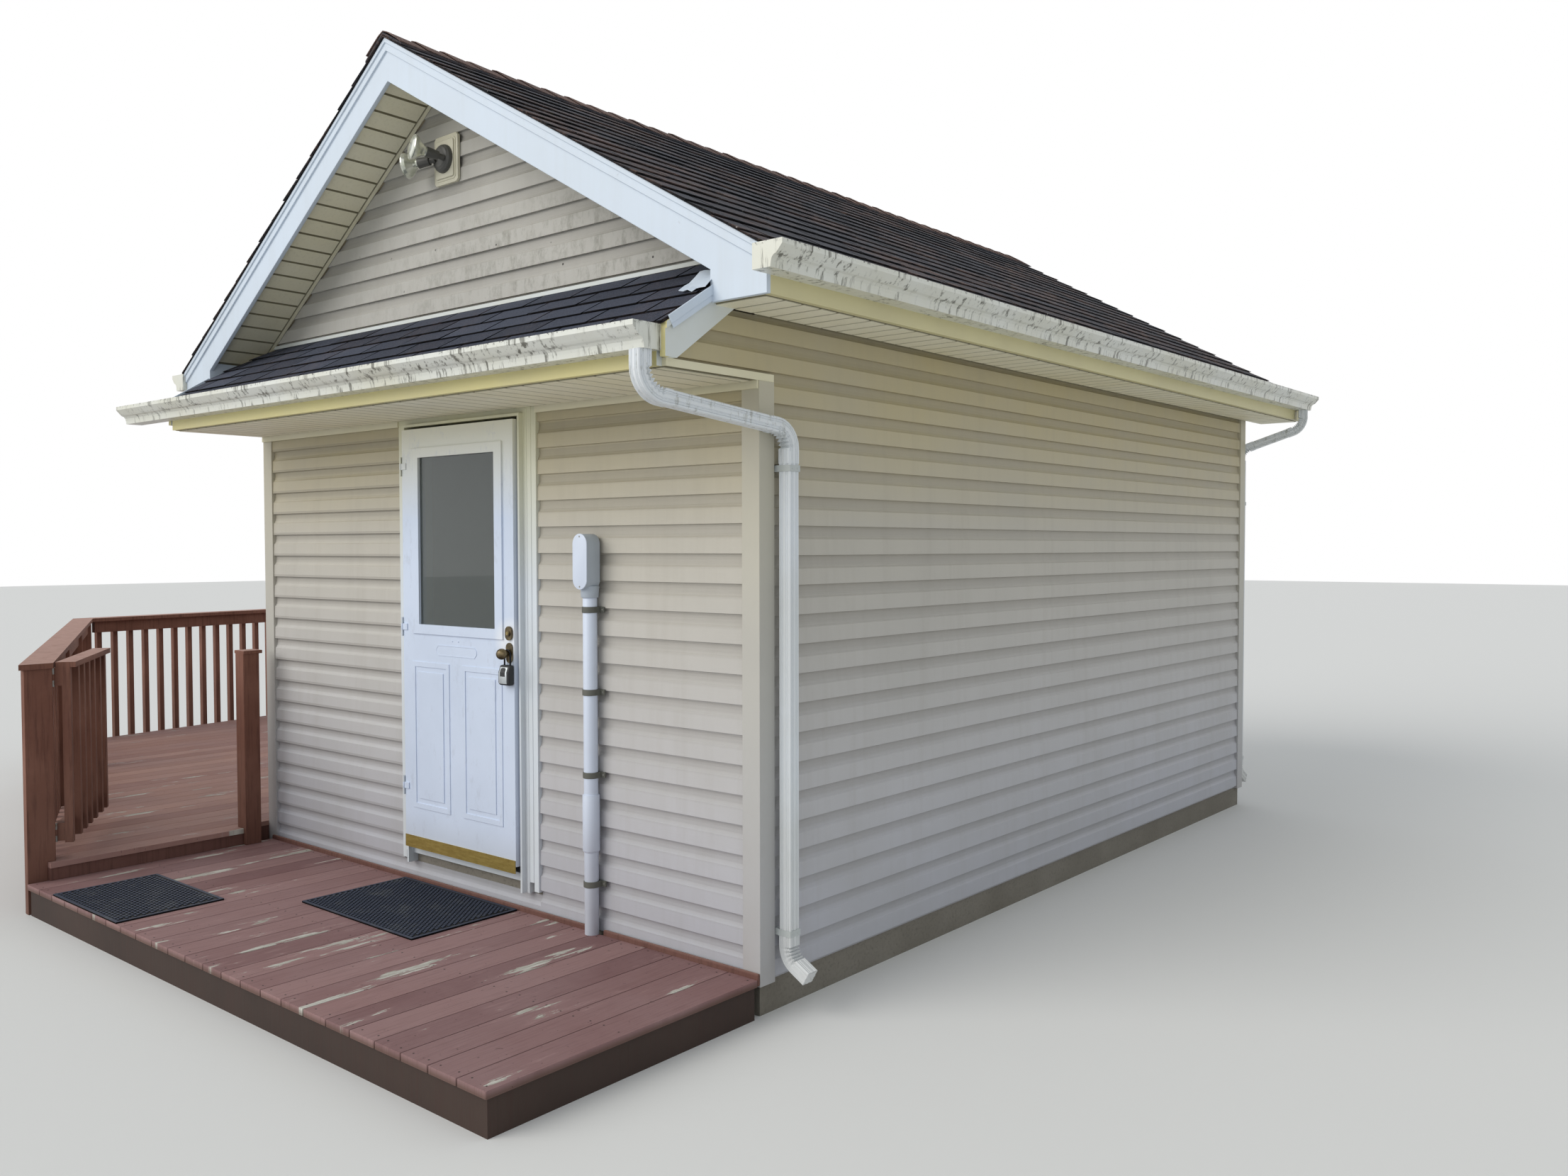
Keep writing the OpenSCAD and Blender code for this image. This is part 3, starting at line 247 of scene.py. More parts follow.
# Siding: extruded vinyl in a lap profile with a faint embossed wood grain along the courses.
# It is painted bluish grey low down and warmer higher up for the light on the wall, with painted
# olive shade under the eaves, a painted shadow in each cove, a grey mildew bloom on the lowest
# gable courses and a few insect specks there.
COURSE = 0.1143
COURSE_FOOT = 0.0255
siding, tree, shader = finish("siding", 0.5, specular=0.4)
masks = worn(tree)
place, across, along, height = here(tree)
# Painted light: bluish grey low down, turning to warm cream higher up where warm light falls on the wall.
tone = mix(tree, band(tree, height, 0.2, 2.1), paint(188, 190, 200), paint(192, 186, 170))
# Painted shade: an olive band under the eaves and the pent roof, kept off the rear wall, with the gables
# greyer above it.
eave_shade = times(tree, band(tree, height, 1.85, 2.4), band(tree, along, 2.5, 2.4))
tone = mix(tree, eave_shade, tone, paint(184, 172, 134))
tone = mix(tree, band(tree, height, 2.62, 2.8), tone, paint(184, 182, 176))
tone = over(tree, tone, masks["Mottle"], 0.25, paint(170, 168, 162))
tone = over(tree, tone, masks["Streaks"], 0.14, paint(140, 132, 116))
share = sums(tree, "FRACT", sums(tree, "DIVIDE", sums(tree, "SUBTRACT", height, COURSE_FOOT), COURSE))
# Painted shadow: each course darkens in its cove, under the butt of the course above.
tone = over(tree, tone, band(tree, share, 0.52, 0.72), 0.3, paint(116, 110, 102))
bloom_place = times(tree, band(tree, height, 2.84, 2.9), band(tree, height, 3.36, 3.2))
bloom_place = times(tree, bloom_place, band(tree, across, -1.2, 0.3))
bloom_place = times(tree, bloom_place, band(tree, along, 0.1, -0.1))
bloom = band(tree, noise(tree, place, (6, 6, 3), 3.0, 10.0, 0.78), 0.47, 0.62)
bloom = times(tree, times(tree, bloom, bloom_place), band(tree, share, 0.62, 0.5))
tone = over(tree, tone, bloom, 0.62, paint(128, 126, 116))
insects = put(tree, "ShaderNodeTexVoronoi", {}, Vector=place, Scale=9.0)
insect = times(tree, band(tree, insects.outputs["Distance"], 0.062, 0.045), bloom_place)
tone = mix(tree, insect, tone, paint(58, 54, 50))
tone = over(tree, tone, masks["Ground"], 0.35, paint(150, 150, 152))
coat(tree, shader, tone)
bump(tree, shader, noise(tree, place, (3, 3, 55), 3.0), 0.0008, 0.5)
dress(siding, "siding_front", "siding_left", "siding_right", "siding_rear", "siding_gables", "pent_cheeks")


# Corner posts: the same vinyl drawn as a plain square post with upright grain. They catch more
# dirt at the foot than the courses beside them.
def round_edges(width, *names):
    """Welds CAD nodes' loose triangles and rounds their sharp edges."""
    for name in names:
        weld = nodes[name].modifiers.new("weld", "WELD")
        weld.merge_threshold = 0.00005
        edge = nodes[name].modifiers.new("round", "BEVEL")
        edge.width = width
        edge.segments = 2
        edge.limit_method = "ANGLE"
        edge.angle_limit = math.radians(40)


post_vinyl, tree, shader = finish("corner_vinyl", 0.5, specular=0.4)
masks = worn(tree)
place, _, _, height = here(tree)
# Painted light: bluish grey low down and warm cream higher up, as on the siding.
tone = mix(tree, band(tree, height, 0.2, 2.4), paint(182, 184, 190), paint(192, 186, 164))
tone = over(tree, tone, masks["Mottle"], 0.3, paint(172, 170, 166))
tone = over(tree, tone, masks["Ground"], 0.4, paint(158, 150, 138))
coat(tree, shader, tone)
bump(tree, shader, noise(tree, place, (60, 60, 3), 3.0), 0.0006, 0.5)
dress(post_vinyl, "corner_posts")
round_edges(0.0015, "corner_posts")


# Roof sheets: asphalt shingles with three tabs, laid course by course on the sheathing. Each
# tab is a thin slab on the course below it, a little curled and out of line.
def slab(mesh, low, high, turn=None):
    """Adds a box between two corners to a bmesh, moved by a matrix. Returns its vertices."""
    low = Vector(low)
    high = Vector(high)
    place = Matrix.Translation((low + high) / 2) @ Matrix.Diagonal((*(high - low), 1))
    if turn:
        place = turn @ place
    return bmesh.ops.create_cube(mesh, size=1, matrix=place)["verts"]


def new_piece(name, mesh, material, body="root", sharp=35):
    """Turns a bmesh into an object that rides on a body and takes a slot's finish."""
    data = bpy.data.meshes.new(name)
    mesh.to_mesh(data)
    mesh.free()
    data.materials.append(material)
    data.shade_smooth()
    data.set_sharp_from_angle(angle=math.radians(sharp))
    made = bpy.data.objects.new(name, data)
    bpy.context.scene.collection.objects.link(made)
    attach(made, body)
    return made


TAB_W = 0.305
TAB_COURSE = 0.127
TAB_GAP = 0.014
TAB_T = 0.004
TAB_PLAY = 0.004
TAB_LIFT = 0.009
SHEET_T = 0.004


def lay_tabs(mesh, foot, rise, along, width):
    """Covers a roof slope from its lower corner: up its whole rise, and along it by a width."""
    tone_layer = mesh.faces.layers.float.get("tone") or mesh.faces.layers.float.new("tone")
    up = rise.normalized()
    normal = along.cross(up).normalized()
    if normal.z < 0:
        normal = -normal
    courses = math.ceil(math.hypot(rise.x, rise.y) / TAB_COURSE)
    step = rise.length / courses
    tabs = math.ceil(width / TAB_W) + 1
    for course in range(courses):
        start = -TAB_W * (course % 2) / 2 - random.uniform(0, 0.012)
        for tab in range(tabs):
            a = max(start + tab * TAB_W + TAB_GAP / 2, -TAB_PLAY * random.random())
            b = min(start + (tab + 1) * TAB_W - TAB_GAP / 2, width + TAB_PLAY * random.random())
            if b - a < 0.02:
                continue
            curl = random.uniform(0.002, 0.0045)
            slip = random.uniform(-TAB_PLAY, 0.003)
            lean = math.atan2(TAB_T + curl, step)
            corner = foot + up * (course * step + slip) + normal * (TAB_LIFT + curl)
            face_up = (up * math.cos(lean) - normal * math.sin(lean)).normalized()
            outward = along.cross(face_up)
            if outward.dot(normal) < 0:
                outward = -outward
            turn = Matrix.Translation(corner) @ Matrix((along, face_up, outward)).transposed().to_4x4()
            verts = slab(mesh, (a, 0, -TAB_T), (b, step * 1.02, 0), turn)
            tone_value = random.random()
            for face in {f for v in verts for f in v.link_faces}:
                face.normal_update()
                # Edge faces get a tone of -1, which the finish paints near black as the shadow along the
                # tabs' edges.
                face[tone_layer] = tone_value if abs(face.normal.dot(normal)) > 0.8 else -1.0
    bmesh.ops.recalc_face_normals(mesh, faces=mesh.faces)


def shingle_finish(name, dark, pale, debris, moss):
    """Mineral granules over asphalt, toned tab by tab, with painted shadow on the tabs' edges and what has
    settled on the roof.
    """
    made, tree, shader = finish(name, 0.92, specular=0.25)
    place = here(tree)[0]
    granules = put(tree, "ShaderNodeTexVoronoi", {}, Vector=place, Scale=380.0)
    grey = put(tree, "ShaderNodeSeparateColor", {}, Color=granules.outputs["Color"]).outputs[0]
    each = put(tree, "ShaderNodeAttribute", {"attribute_name": "tone"}).outputs["Fac"]
    share = sums(tree, "ADD", times(tree, grey, 0.6), times(tree, each, 0.4))
    tone = mix(tree, share, dark, pale)
    # Painted shadow: faces with a tone below 0, the tabs' edges, go near black.
    tone = over(tree, tone, band(tree, each, -0.2, -0.8), 0.85, paint(8, 8, 10))
    drift = noise(tree, place, (1.2, 0.55, 1.2), 2.4, 9.0, 0.7)
    needles = noise(tree, place, (22, 5, 22), 2.0, 6.0, 0.7)
    litter = times(tree, band(tree, drift, 0.45, 0.6), band(tree, needles, 0.42, 0.6))
    tone = over(tree, tone, litter, debris, paint(142, 116, 106))
    tufts = noise(tree, place, (1, 1, 1), 26.0, 5.0, 0.7)
    tuft_share = times(tree, band(tree, tufts, 0.6, 0.66), band(tree, drift, 0.5, 0.58))
    tone = over(tree, tone, tuft_share, moss, paint(60, 62, 44))
    flecks = band(tree, noise(tree, place, (1, 1, 1), 60.0, 3.0), 0.7, 0.74)
    tone = over(tree, tone, flecks, moss, paint(176, 172, 168))
    coat(tree, shader, tone)
    bump(tree, shader, granules.outputs["Distance"], 0.0012)
    return made


main_shingle = shingle_finish("main_shingle", paint(34, 36, 42), paint(84, 86, 94), 0.5, 0.85)
pent_shingle = shingle_finish("pent_shingle", paint(28, 31, 42), paint(84, 90, 106), 0.1, 0.1)
# Painted shadow: the CAD shingle sheets show only in the slots and under the tabs, so they are laid near
# black.
slot_shade_shingle = shingle_finish("slot_shade_shingle", paint(12, 12, 16), paint(26, 26, 30), 0.12, 0.0)
dress(slot_shade_shingle, "shingles_right", "shingles_left", "pent_shingles")
dress(main_shingle, "ridge_cap")

slopes = ((1, "shingles_right"), (-1, "shingles_left"))
peak_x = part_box("shingles_right")[0].x
for side, node in slopes:
    low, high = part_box(node)
    eave_x = high.x if side > 0 else low.x
    rise = Vector((peak_x - eave_x, 0, high.z - SHEET_T - low.z))
    tabs_mesh = bmesh.new()
    lay_tabs(tabs_mesh, Vector((eave_x, low.y, low.z)), rise, Vector((0, 1, 0)), high.y - low.y)
    new_piece(node + "_tabs", tabs_mesh, main_shingle)

pent_low, pent_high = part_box("pent_shingles")
pent_rise = Vector((0, pent_high.y - pent_low.y, pent_high.z - SHEET_T - pent_low.z))
tabs_mesh = bmesh.new()
lay_tabs(tabs_mesh, pent_low, pent_rise, Vector((1, 0, 0)), pent_high.x - pent_low.x)
# The main roof's overhang comes down over both ends of the pent roof, and its tabs stop there
OVERHANG_DEPTH = 0.19
TUCKED = 0.012
for side, node in slopes:
    low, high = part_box(node)
    cut_normal = Vector((side * (high.z - low.z), 0, high.x - low.x)).normalized()
    underside = Vector((peak_x, 0, high.z - SHEET_T - OVERHANG_DEPTH))
    every_part = tabs_mesh.verts[:] + tabs_mesh.edges[:] + tabs_mesh.faces[:]
    bmesh.ops.bisect_plane(tabs_mesh, geom=every_part, plane_co=underside + cut_normal * TUCKED,
                           plane_no=cut_normal, clear_outer=True)
bmesh.ops.holes_fill(tabs_mesh, edges=[e for e in tabs_mesh.edges if e.is_boundary])
new_piece("pent_shingle_tabs", tabs_mesh, pent_shingle)

# Ridge caps: single shingles bent over the ridge. Each is laid with its raised front edge over
# the back of the one before it, and nailed where the next one hides it.
CAP_STEP = 0.146
CAP_LAP = 1.15
CAP_T = 0.004
CAP_BEND = 0.02
low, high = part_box("ridge_cap")
cap_half = (high.x - low.x) / 2
ridge_x = (high.x + low.x) / 2
cap_slope = (high.z - low.z - 0.011) / cap_half
cap_count = int((high.y - low.y) / CAP_STEP)
cap_mesh = bmesh.new()
for cap in range(cap_count):
    front_y = low.y + cap * (high.y - low.y) / cap_count
    made = bmesh.ops.create_grid(cap_mesh, x_segments=8, y_segments=1, size=0.5)["verts"]
    lift = random.uniform(0.002, 0.006)
    for vert in made:
        x = vert.co.x * 2 * cap_half * random.uniform(0.97, 1.0)
        in_front = vert.co.y < 0
        y = front_y if in_front else front_y + CAP_STEP * CAP_LAP
        drop = cap_slope * (math.hypot(x, CAP_BEND) - CAP_BEND)
        lifted = 0.006 + lift if in_front else 0.001
        vert.co = Vector((ridge_x + x, y, high.z - CAP_T - drop + lifted))
bmesh.ops.recalc_face_normals(cap_mesh, faces=cap_mesh.faces)
bmesh.ops.solidify(cap_mesh, geom=cap_mesh.faces[:], thickness=CAP_T)
cap_shingle = shingle_finish("cap_shingle", paint(70, 60, 60), paint(150, 124, 114), 0.6, 0.3)
new_piece("ridge_cap_shingles", cap_mesh, cap_shingle)

# White trim: bluish white vinyl and aluminium rake boards, washed clean by rain with a few
# scuffs.
trim, tree, shader = finish("white_trim", 0.4)
masks = worn(tree)
tone = mix(tree, times(tree, masks["Mottle"], 0.35), paint(208, 220, 234), paint(198, 206, 214))
tone = over(tree, tone, masks["Streaks"], 0.12, paint(176, 178, 172))
scuff = band(tree, noise(tree, here(tree)[0], (5, 5, 5), 3.0, 8.0, 0.75), 0.66, 0.72)
tone = over(tree, tone, scuff, 0.4, paint(150, 152, 150))
coat(tree, shader, tone)
dress(trim, "rake_boards")
round_edges(0.002, "rake_boards")


# Fascias: boards wrapped in coil sheet, tinted cream. The pent roof's front fascia is cream, and its
# end boards stay bluish white.
def facing(tree, axis):
    """One part of the direction that the surface faces."""
    normal = put(tree, "ShaderNodeNewGeometry").outputs["Normal"]
    return put(tree, "ShaderNodeSeparateXYZ", {}, Vector=normal).outputs[axis]


cream, tree, shader = finish("cream_trim", 0.45)
masks = worn(tree)
in_front = band(tree, here(tree)[2], -3.012, -3.016)
not_end = band(tree, sums(tree, "ABSOLUTE", facing(tree, "X")), 0.6, 0.4)
tone = mix(tree, times(tree, in_front, not_end), paint(216, 222, 222), paint(222, 212, 150))
tone = over(tree, tone, masks["Mottle"], 0.35, paint(196, 190, 160))
coat(tree, shader, tone)
dress(cream, "pent_trim")

eave_cream = worn_finish("eave_cream", 0.45, paint(214, 206, 158), ("Mottle", 0.5, paint(196, 188, 150)))
dress(eave_cream, "eave_fascias")
round_edges(0.0015, "pent_trim", "eave_fascias")

# Soffits: cream vinyl panels with a narrow groove every 101.6 mm, across the overhang on the rakes
# and eaves and from fascia to wall under the pent roof. Each rib is its own shallow pan, with painted
# shade on the pans' sides and on the bed that shows between them.
GROOVE_STEP = 0.1016
GROOVE_W = 0.009
PAN_T = 0.005
LET_IN = 0.0005
soffit, tree, shader = finish("soffit", 0.5)
masks = worn(tree)
tone = mix(tree, masks["Mottle"], paint(236, 230, 202), paint(240, 236, 216))
tone = over(tree, tone, masks["Speckle"], 0.15, paint(150, 142, 116))
# Painted shade: the pans' sides, in the grooves, are darkened.
groove_shade = band(tree, sums(tree, "ABSOLUTE", facing(tree, "Z")), 0.78, 0.66)
tone = over(tree, tone, groove_shade, 0.8, paint(112, 106, 82))
coat(tree, shader, tone)
soffit_bed, tree, shader = finish("soffit_bed", 0.6)
masks = worn(tree)
# Painted shade: downward faces of the bed above 2.375 m, seen only in the gaps between pans, are darkened.
bed_shade = times(tree, band(tree, facing(tree, "Z"), -0.4, -0.6), band(tree, here(tree)[3], 2.370, 2.375))
tone = mix(tree, masks["Mottle"], paint(222, 216, 184), paint(230, 224, 198))
coat(tree, shader, mix(tree, bed_shade, tone, paint(132, 126, 100)))
dress(soffit_bed, "rake_soffits", "eave_soffits", "pent_soffit")


def soften(mesh, width, segments=2, angle=30):
    """Rounds the edges of a bmesh that turn by more than an angle."""
    sharp = [e for e in mesh.edges if e.is_manifold and e.calc_face_angle(0) > math.radians(angle)]
    bmesh.ops.bevel(mesh, geom=sharp, offset=width, offset_type="OFFSET", affect="EDGES",
                    segments=segments, profile=0.5, material=-1)


def pan_spans(start, last_start, end):
    """Where each pan begins and ends, from a start on. The last pans are cut off at the end."""
    while start < last_start:
        yield start, min(start + GROOVE_STEP - GROOVE_W, end)
        start += GROOVE_STEP


wall_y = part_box("siding_front")[0].y
pan_mesh = bmesh.new()
low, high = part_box("pent_soffit")
bed_z = low.z + 0.03
for near, far in pan_spans(low.x + 0.03, high.x - 0.03, high.x - 0.02):
    slab(pan_mesh, (near, low.y + 0.004, bed_z - PAN_T), (far, wall_y - 0.032, bed_z + LET_IN))
soften(pan_mesh, 0.002, 1)
new_piece("pent_soffit_pans", pan_mesh, soffit)

pan_mesh = bmesh.new()
low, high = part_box("eave_soffits")
right_x = (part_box("siding_right")[1].x + 0.02, high.x - 0.004)
left_x = (low.x + 0.004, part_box("siding_left")[0].x - 0.02)
for first_x, last_x in (right_x, left_x):
    for near, far in pan_spans(low.y + 0.01, high.y - 0.02, high.y - 0.005):
        slab(pan_mesh, (first_x, near, low.z - PAN_T), (last_x, far, low.z + LET_IN))
soften(pan_mesh, 0.002, 1)
new_piece("eave_soffit_pans", pan_mesh, soffit)

pan_mesh = bmesh.new()
low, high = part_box("rake_soffits")
for side, node in slopes:
    slope_low, slope_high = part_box(node)
    slope = (slope_high.z - SHEET_T - slope_low.z) / (slope_high.x - slope_low.x)
    down = Vector((side, 0, -slope)).normalized()
    above = Vector((side * slope, 0, 1)).normalized()
    reach = abs((high.x if side > 0 else low.x) - peak_x) / abs(down.x)
    axes = Matrix((down, (0, 1, 0), above)).transposed().to_4x4()
    turn = Matrix.Translation((peak_x, 0, high.z - 0.008)) @ axes
    for end in (1, -1):
        first_y, last_y = sorted((end * (abs(wall_y) + 0.024), end * (high.y - 0.004)))
        for near, far in pan_spans(0.012, reach - 0.02, reach):
            slab(pan_mesh, (near, first_y, -PAN_T), (far, last_y, LET_IN), turn)
        # A receiving strip along the wall, into which the pans' ends are pushed
        first_y, last_y = sorted((end * (abs(wall_y) + 0.022), end * abs(wall_y)))
        slab(pan_mesh, (0.008, first_y, -0.007), (reach, last_y, LET_IN), turn)
bmesh.ops.recalc_face_normals(pan_mesh, faces=pan_mesh.faces)
soften(pan_mesh, 0.002, 1)
new_piece("rake_soffit_pans", pan_mesh, soffit)

# Gutters: baked aluminium, cream-white, with dirt that washed over the front lips and ran
# down in short dark marks, thickest at the top.
gutter, tree, shader = finish("gutter", 0.34)
masks = worn(tree)
place, _, _, height = here(tree)
tone = mix(tree, times(tree, masks["Mottle"], 0.5), paint(222, 224, 218), paint(204, 200, 172))
drips = noise(tree, place, (11, 11, 0.9), 3.2, 7.0, 0.72)
patches = band(tree, noise(tree, place, (2.2, 2.2, 0.3), 1.4, 4.0), 0.36, 0.52)
marks = times(tree, band(tree, drips, 0.53, 0.61), patches)
tone = over(tree, tone, marks, 0.85, paint(74, 72, 60))
spots = band(tree, noise(tree, place, (18, 18, 18), 3.0, 5.0, 0.7), 0.55, 0.6)
for top in (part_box("pent_gutter")[1].z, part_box("eave_gutters")[1].z):
    lip = times(tree, band(tree, height, top - 0.012, top - 0.002),
                band(tree, height, top + 0.004, top + 0.002))
    tone = over(tree, tone, times(tree, lip, spots), 0.8, paint(52, 50, 44))
coat(tree, shader, tone)
dress(gutter, "eave_gutters", "pent_gutter")

# Kick-out flashing: a crumpled scrap of white coil sheet, tucked under the eave box where the
# pent roof meets it.
SCRAP_X, SCRAP_Y = 1.785, -2.795
SCRAP_W, SCRAP_L = 0.13, 0.11
SCRAP_T = 0.0012
pent_slope = pent_rise.z / pent_rise.y
crumple = random.Random(7)
scrap_mesh = bmesh.new()
for vert in bmesh.ops.create_grid(scrap_mesh, x_segments=6, y_segments=4, size=0.5)["verts"]:
    u, v = vert.co.x, vert.co.y
    y = SCRAP_Y + v * SCRAP_L
    z = pent_low.z + (y - pent_low.y) * pent_slope + 0.018
    z += 0.030 * max(0, v + 0.1) + crumple.uniform(0, 0.012) + 0.018 * abs(u)
    vert.co = Vector((SCRAP_X + u * SCRAP_W, y, z))
bmesh.ops.solidify(scrap_mesh, geom=scrap_mesh.faces[:], thickness=SCRAP_T)
new_piece("kick_out_flashing", scrap_mesh, trim, sharp=12)

# Pent roof's drip edges: white sheet strips turned over the upper edge of the end boards, with
# a narrower lip below the first bend. The shingles hold them down.
EDGE_END_Y = -2.60
edge_mesh = bmesh.new()
trim_low, trim_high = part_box("pent_trim")
lean = math.atan2(pent_rise.z, pent_rise.y)
edge_run = (EDGE_END_Y - trim_low.y) / math.cos(lean)
foot_z = trim_high.z - (wall_y - trim_low.y) * math.tan(lean)
for side, x in ((1, trim_high.x), (-1, trim_low.x)):
    turn = Matrix.Translation((x, trim_low.y, foot_z)) @ Matrix.Rotation(lean, 4, "X")
    for proud, low_z, high_z in ((0.006, -0.034, -0.004), (0.003, -0.052, -0.034)):
        near, far = sorted((-side * 0.001, side * proud))
        slab(edge_mesh, (near, 0.004, low_z), (far, edge_run, high_z), turn)
soften(edge_mesh, 0.001, 1)
new_piece("pent_drip_edges", edge_mesh, trim)

# Downspouts: square corrugated aluminium pipe. The elbows are crimped in on the inside of the
# bend and slip over the straight lengths, and sheet bands hold the drop to the corner.
SPOUT_H = 0.028
ELBOW_R = (0.097, 0.085, 0.080)
ELBOW_GROW = 0.0012
PIPE_GROW = -0.0004
SKIRT = 0.03
LOW_SKIRT = 0.055
SHOE_SKIRT = 0.045
TUCK = 0.004
SHOE_Z = 0.262
SHOE_OUT = math.radians(60)
SHOE_RUN = 0.07
BAND_Z = (0.3, 2.053)
BAND_H = 0.024
BAND_HALF = SPOUT_H + 0.0022
RIBS = (0.36, 0.62)
RIB_HALF = 0.07
RIB_DEPTH = 0.0034
FACE_POINTS = 24
CORNER_R = 0.004
CRIMP_POINTS = 4
DOWN = math.radians(-90)
spout_white, tree, shader = finish("spout_white", 0.33)
masks = worn(tree)
place, _, _, height = here(tree)
tone = mix(tree, times(tree, masks["Mottle"], 0.4), paint(226, 231, 236), paint(206, 208, 204))
grime = times(tree, band(tree, noise(tree, place, (14, 14, 5), 3.0, 7.0, 0.72), 0.55, 0.68), 0.65)
tone = mix(tree, times(tree, grime, band(tree, height, 2.0, 2.3)), tone, paint(128, 128, 108))
tone = over(tree, tone, masks["Ground"], 0.35, paint(168, 160, 144))
coat(tree, shader, tone)
band_grey = worn_finish("band_grey", 0.4, paint(190, 196, 196), ("Mottle", 0.5, paint(172, 176, 172)))


def spout_ring(grow, crimp):
    """Points round a fluted square section. A crimp above 0 pulls the +U side in."""
    half = SPOUT_H + grow
    ring = []
    for side in range(4):
        for k in range(FACE_POINTS):
            t = (k + 0.5) / FACE_POINTS * 2 - 1
            dip = RIB_DEPTH if any(abs(abs(t) - rib) < RIB_HALF for rib in RIBS) else 0.0
            corner = CORNER_R * max(0, (abs(t) - 0.85) / 0.15) ** 2
            u, v = half - dip - corner, t * half
            for _ in range(side):
                u, v = -v, u
            inward = crimp * max(0.15, (u / half + 1) / 2)
            ring.append((u * (1 - inward * 0.2) - inward * 0.006, v * (1 - inward * 0.16)))
    return ring


def arc_stations(middle, radius, start, stop, turn, crimps):
    """Stations round an elbow: place, heading, growth and crimp. Turn is 90 or -90 degrees."""
    steps = crimps * CRIMP_POINTS
    stations = []
    for k in range(steps + 1):
        a = math.radians(start + (stop - start) * k / steps)
        wave = 0.5 - 0.5 * math.cos(2 * math.pi * k / CRIMP_POINTS)
        stations.append((middle[0] + radius * math.cos(a), middle[1] + radius * math.sin(a),
                         a + math.radians(turn), ELBOW_GROW, wave * (1 if turn > 0 else -1)))
    return stations


def run_pipe(mesh, stations, plane):
    """Skins a pipe along stations in an upright plane."""
    rings = []
    for across, up, heading, grow, crimp in stations:
        side = Vector((-math.sin(heading), math.cos(heading)))
        ring = []
        for u, v in spout_ring(grow, abs(crimp)):
            if crimp < 0:
                u = -u
            ring.append(mesh.verts.new(plane @ Vector((across + side.x * u, v, up + side.y * u))))
        rings.append([mesh.edges.new((ring[k - 1], ring[k])) for k in range(len(ring))])
    for near, far in zip(rings, rings[1:]):
        bmesh.ops.bridge_loops(mesh, edges=near + far)
    for ring in (rings[0], rings[-1]):
        bmesh.ops.edgeloop_fill(mesh, edges=ring)


def make_spout(name, stub, foot, top, stub_l, fall, kick, wall_d):
    """One downspout from its outlet to its shoe, with two bands. Replaces the CAD pipe."""
    mesh = bmesh.new()
    reach = math.dist(stub, foot)
    turn = math.atan2(foot[1] - stub[1], foot[0] - stub[0])
    lean = math.radians(fall)
    first = top - stub_l
    both_r = ELBOW_R[0] + ELBOW_R[1]
    second = first - both_r * math.cos(lean) - math.tan(lean) * (reach - both_r * (1 - math.sin(lean)))
    first_arc = arc_stations((ELBOW_R[0], first), ELBOW_R[0], 180, 270 - fall, 90, 7)
    second_arc = arc_stations((reach - ELBOW_R[1], second), ELBOW_R[1], 90 - fall, 0, -90, 6)
    slope = Vector((math.cos(lean), -math.sin(lean)))
    upper = Vector(first_arc[-1][:2])
    lower = Vector(second_arc[0][:2])
    plane = Matrix.Translation((*stub, 0)) @ Matrix.Rotation(turn, 4, "Z")
    run_pipe(mesh, [(0, top, DOWN, ELBOW_GROW, 0)] + first_arc
             + [(*(upper + slope * SKIRT), -lean, ELBOW_GROW, 0)], plane)
    run_pipe(mesh, [(*(upper + slope * TUCK), -lean, PIPE_GROW, 0),
                    (*(lower - slope * TUCK), -lean, PIPE_GROW, 0)], plane)
    run_pipe(mesh, [(*(lower - slope * SKIRT), -lean, ELBOW_GROW, 0)] + second_arc
             + [(reach, second - LOW_SKIRT, DOWN, ELBOW_GROW, 0)], plane)
    plane = Matrix.Translation((*foot, 0)) @ Matrix.Rotation(math.radians(kick), 4, "Z")
    shoe = arc_stations((ELBOW_R[2], SHOE_Z), ELBOW_R[2], 180, 240, 90, 5)
    tip = (ELBOW_R[2] * 0.5 + SHOE_RUN * math.sin(SHOE_OUT),
           SHOE_Z - ELBOW_R[2] * math.sin(SHOE_OUT) - SHOE_RUN * math.cos(SHOE_OUT))
    run_pipe(mesh, [(0, second - 0.01, DOWN, PIPE_GROW, 0), (0, SHOE_Z + 0.01, DOWN, PIPE_GROW, 0)], plane)
    run_pipe(mesh, [(0, SHOE_Z + SHOE_SKIRT, DOWN, ELBOW_GROW, 0)] + shoe
             + [(*tip, SHOE_OUT + DOWN, ELBOW_GROW, 0)], plane)
    bmesh.ops.recalc_face_normals(mesh, faces=mesh.faces)
    pipe = new_piece(name + "_pipe", mesh, spout_white, sharp=28)
    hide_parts(name)
    bands = bmesh.new()
    for z in BAND_Z:
        slab(bands, (-BAND_HALF, -BAND_HALF, z), (BAND_HALF, BAND_HALF, z + BAND_H), plane)
        slab(bands, (-BAND_HALF - wall_d + 0.002, -BAND_HALF + 0.004, z),
             (-BAND_HALF + 0.004, BAND_HALF - 0.004, z + BAND_H), plane)
        for y in (-0.014, 0.014):
            spot = plane @ Matrix.Translation((BAND_HALF, y, z + BAND_H / 2))
            spot = spot @ Matrix.Rotation(math.radians(90), 4, "Y")
            bmesh.ops.create_cone(bands, cap_ends=True, segments=10, radius1=0.0045, radius2=0.003,
                                  depth=0.003, matrix=spot)
    new_piece(name + "_bands", bands, band_grey)


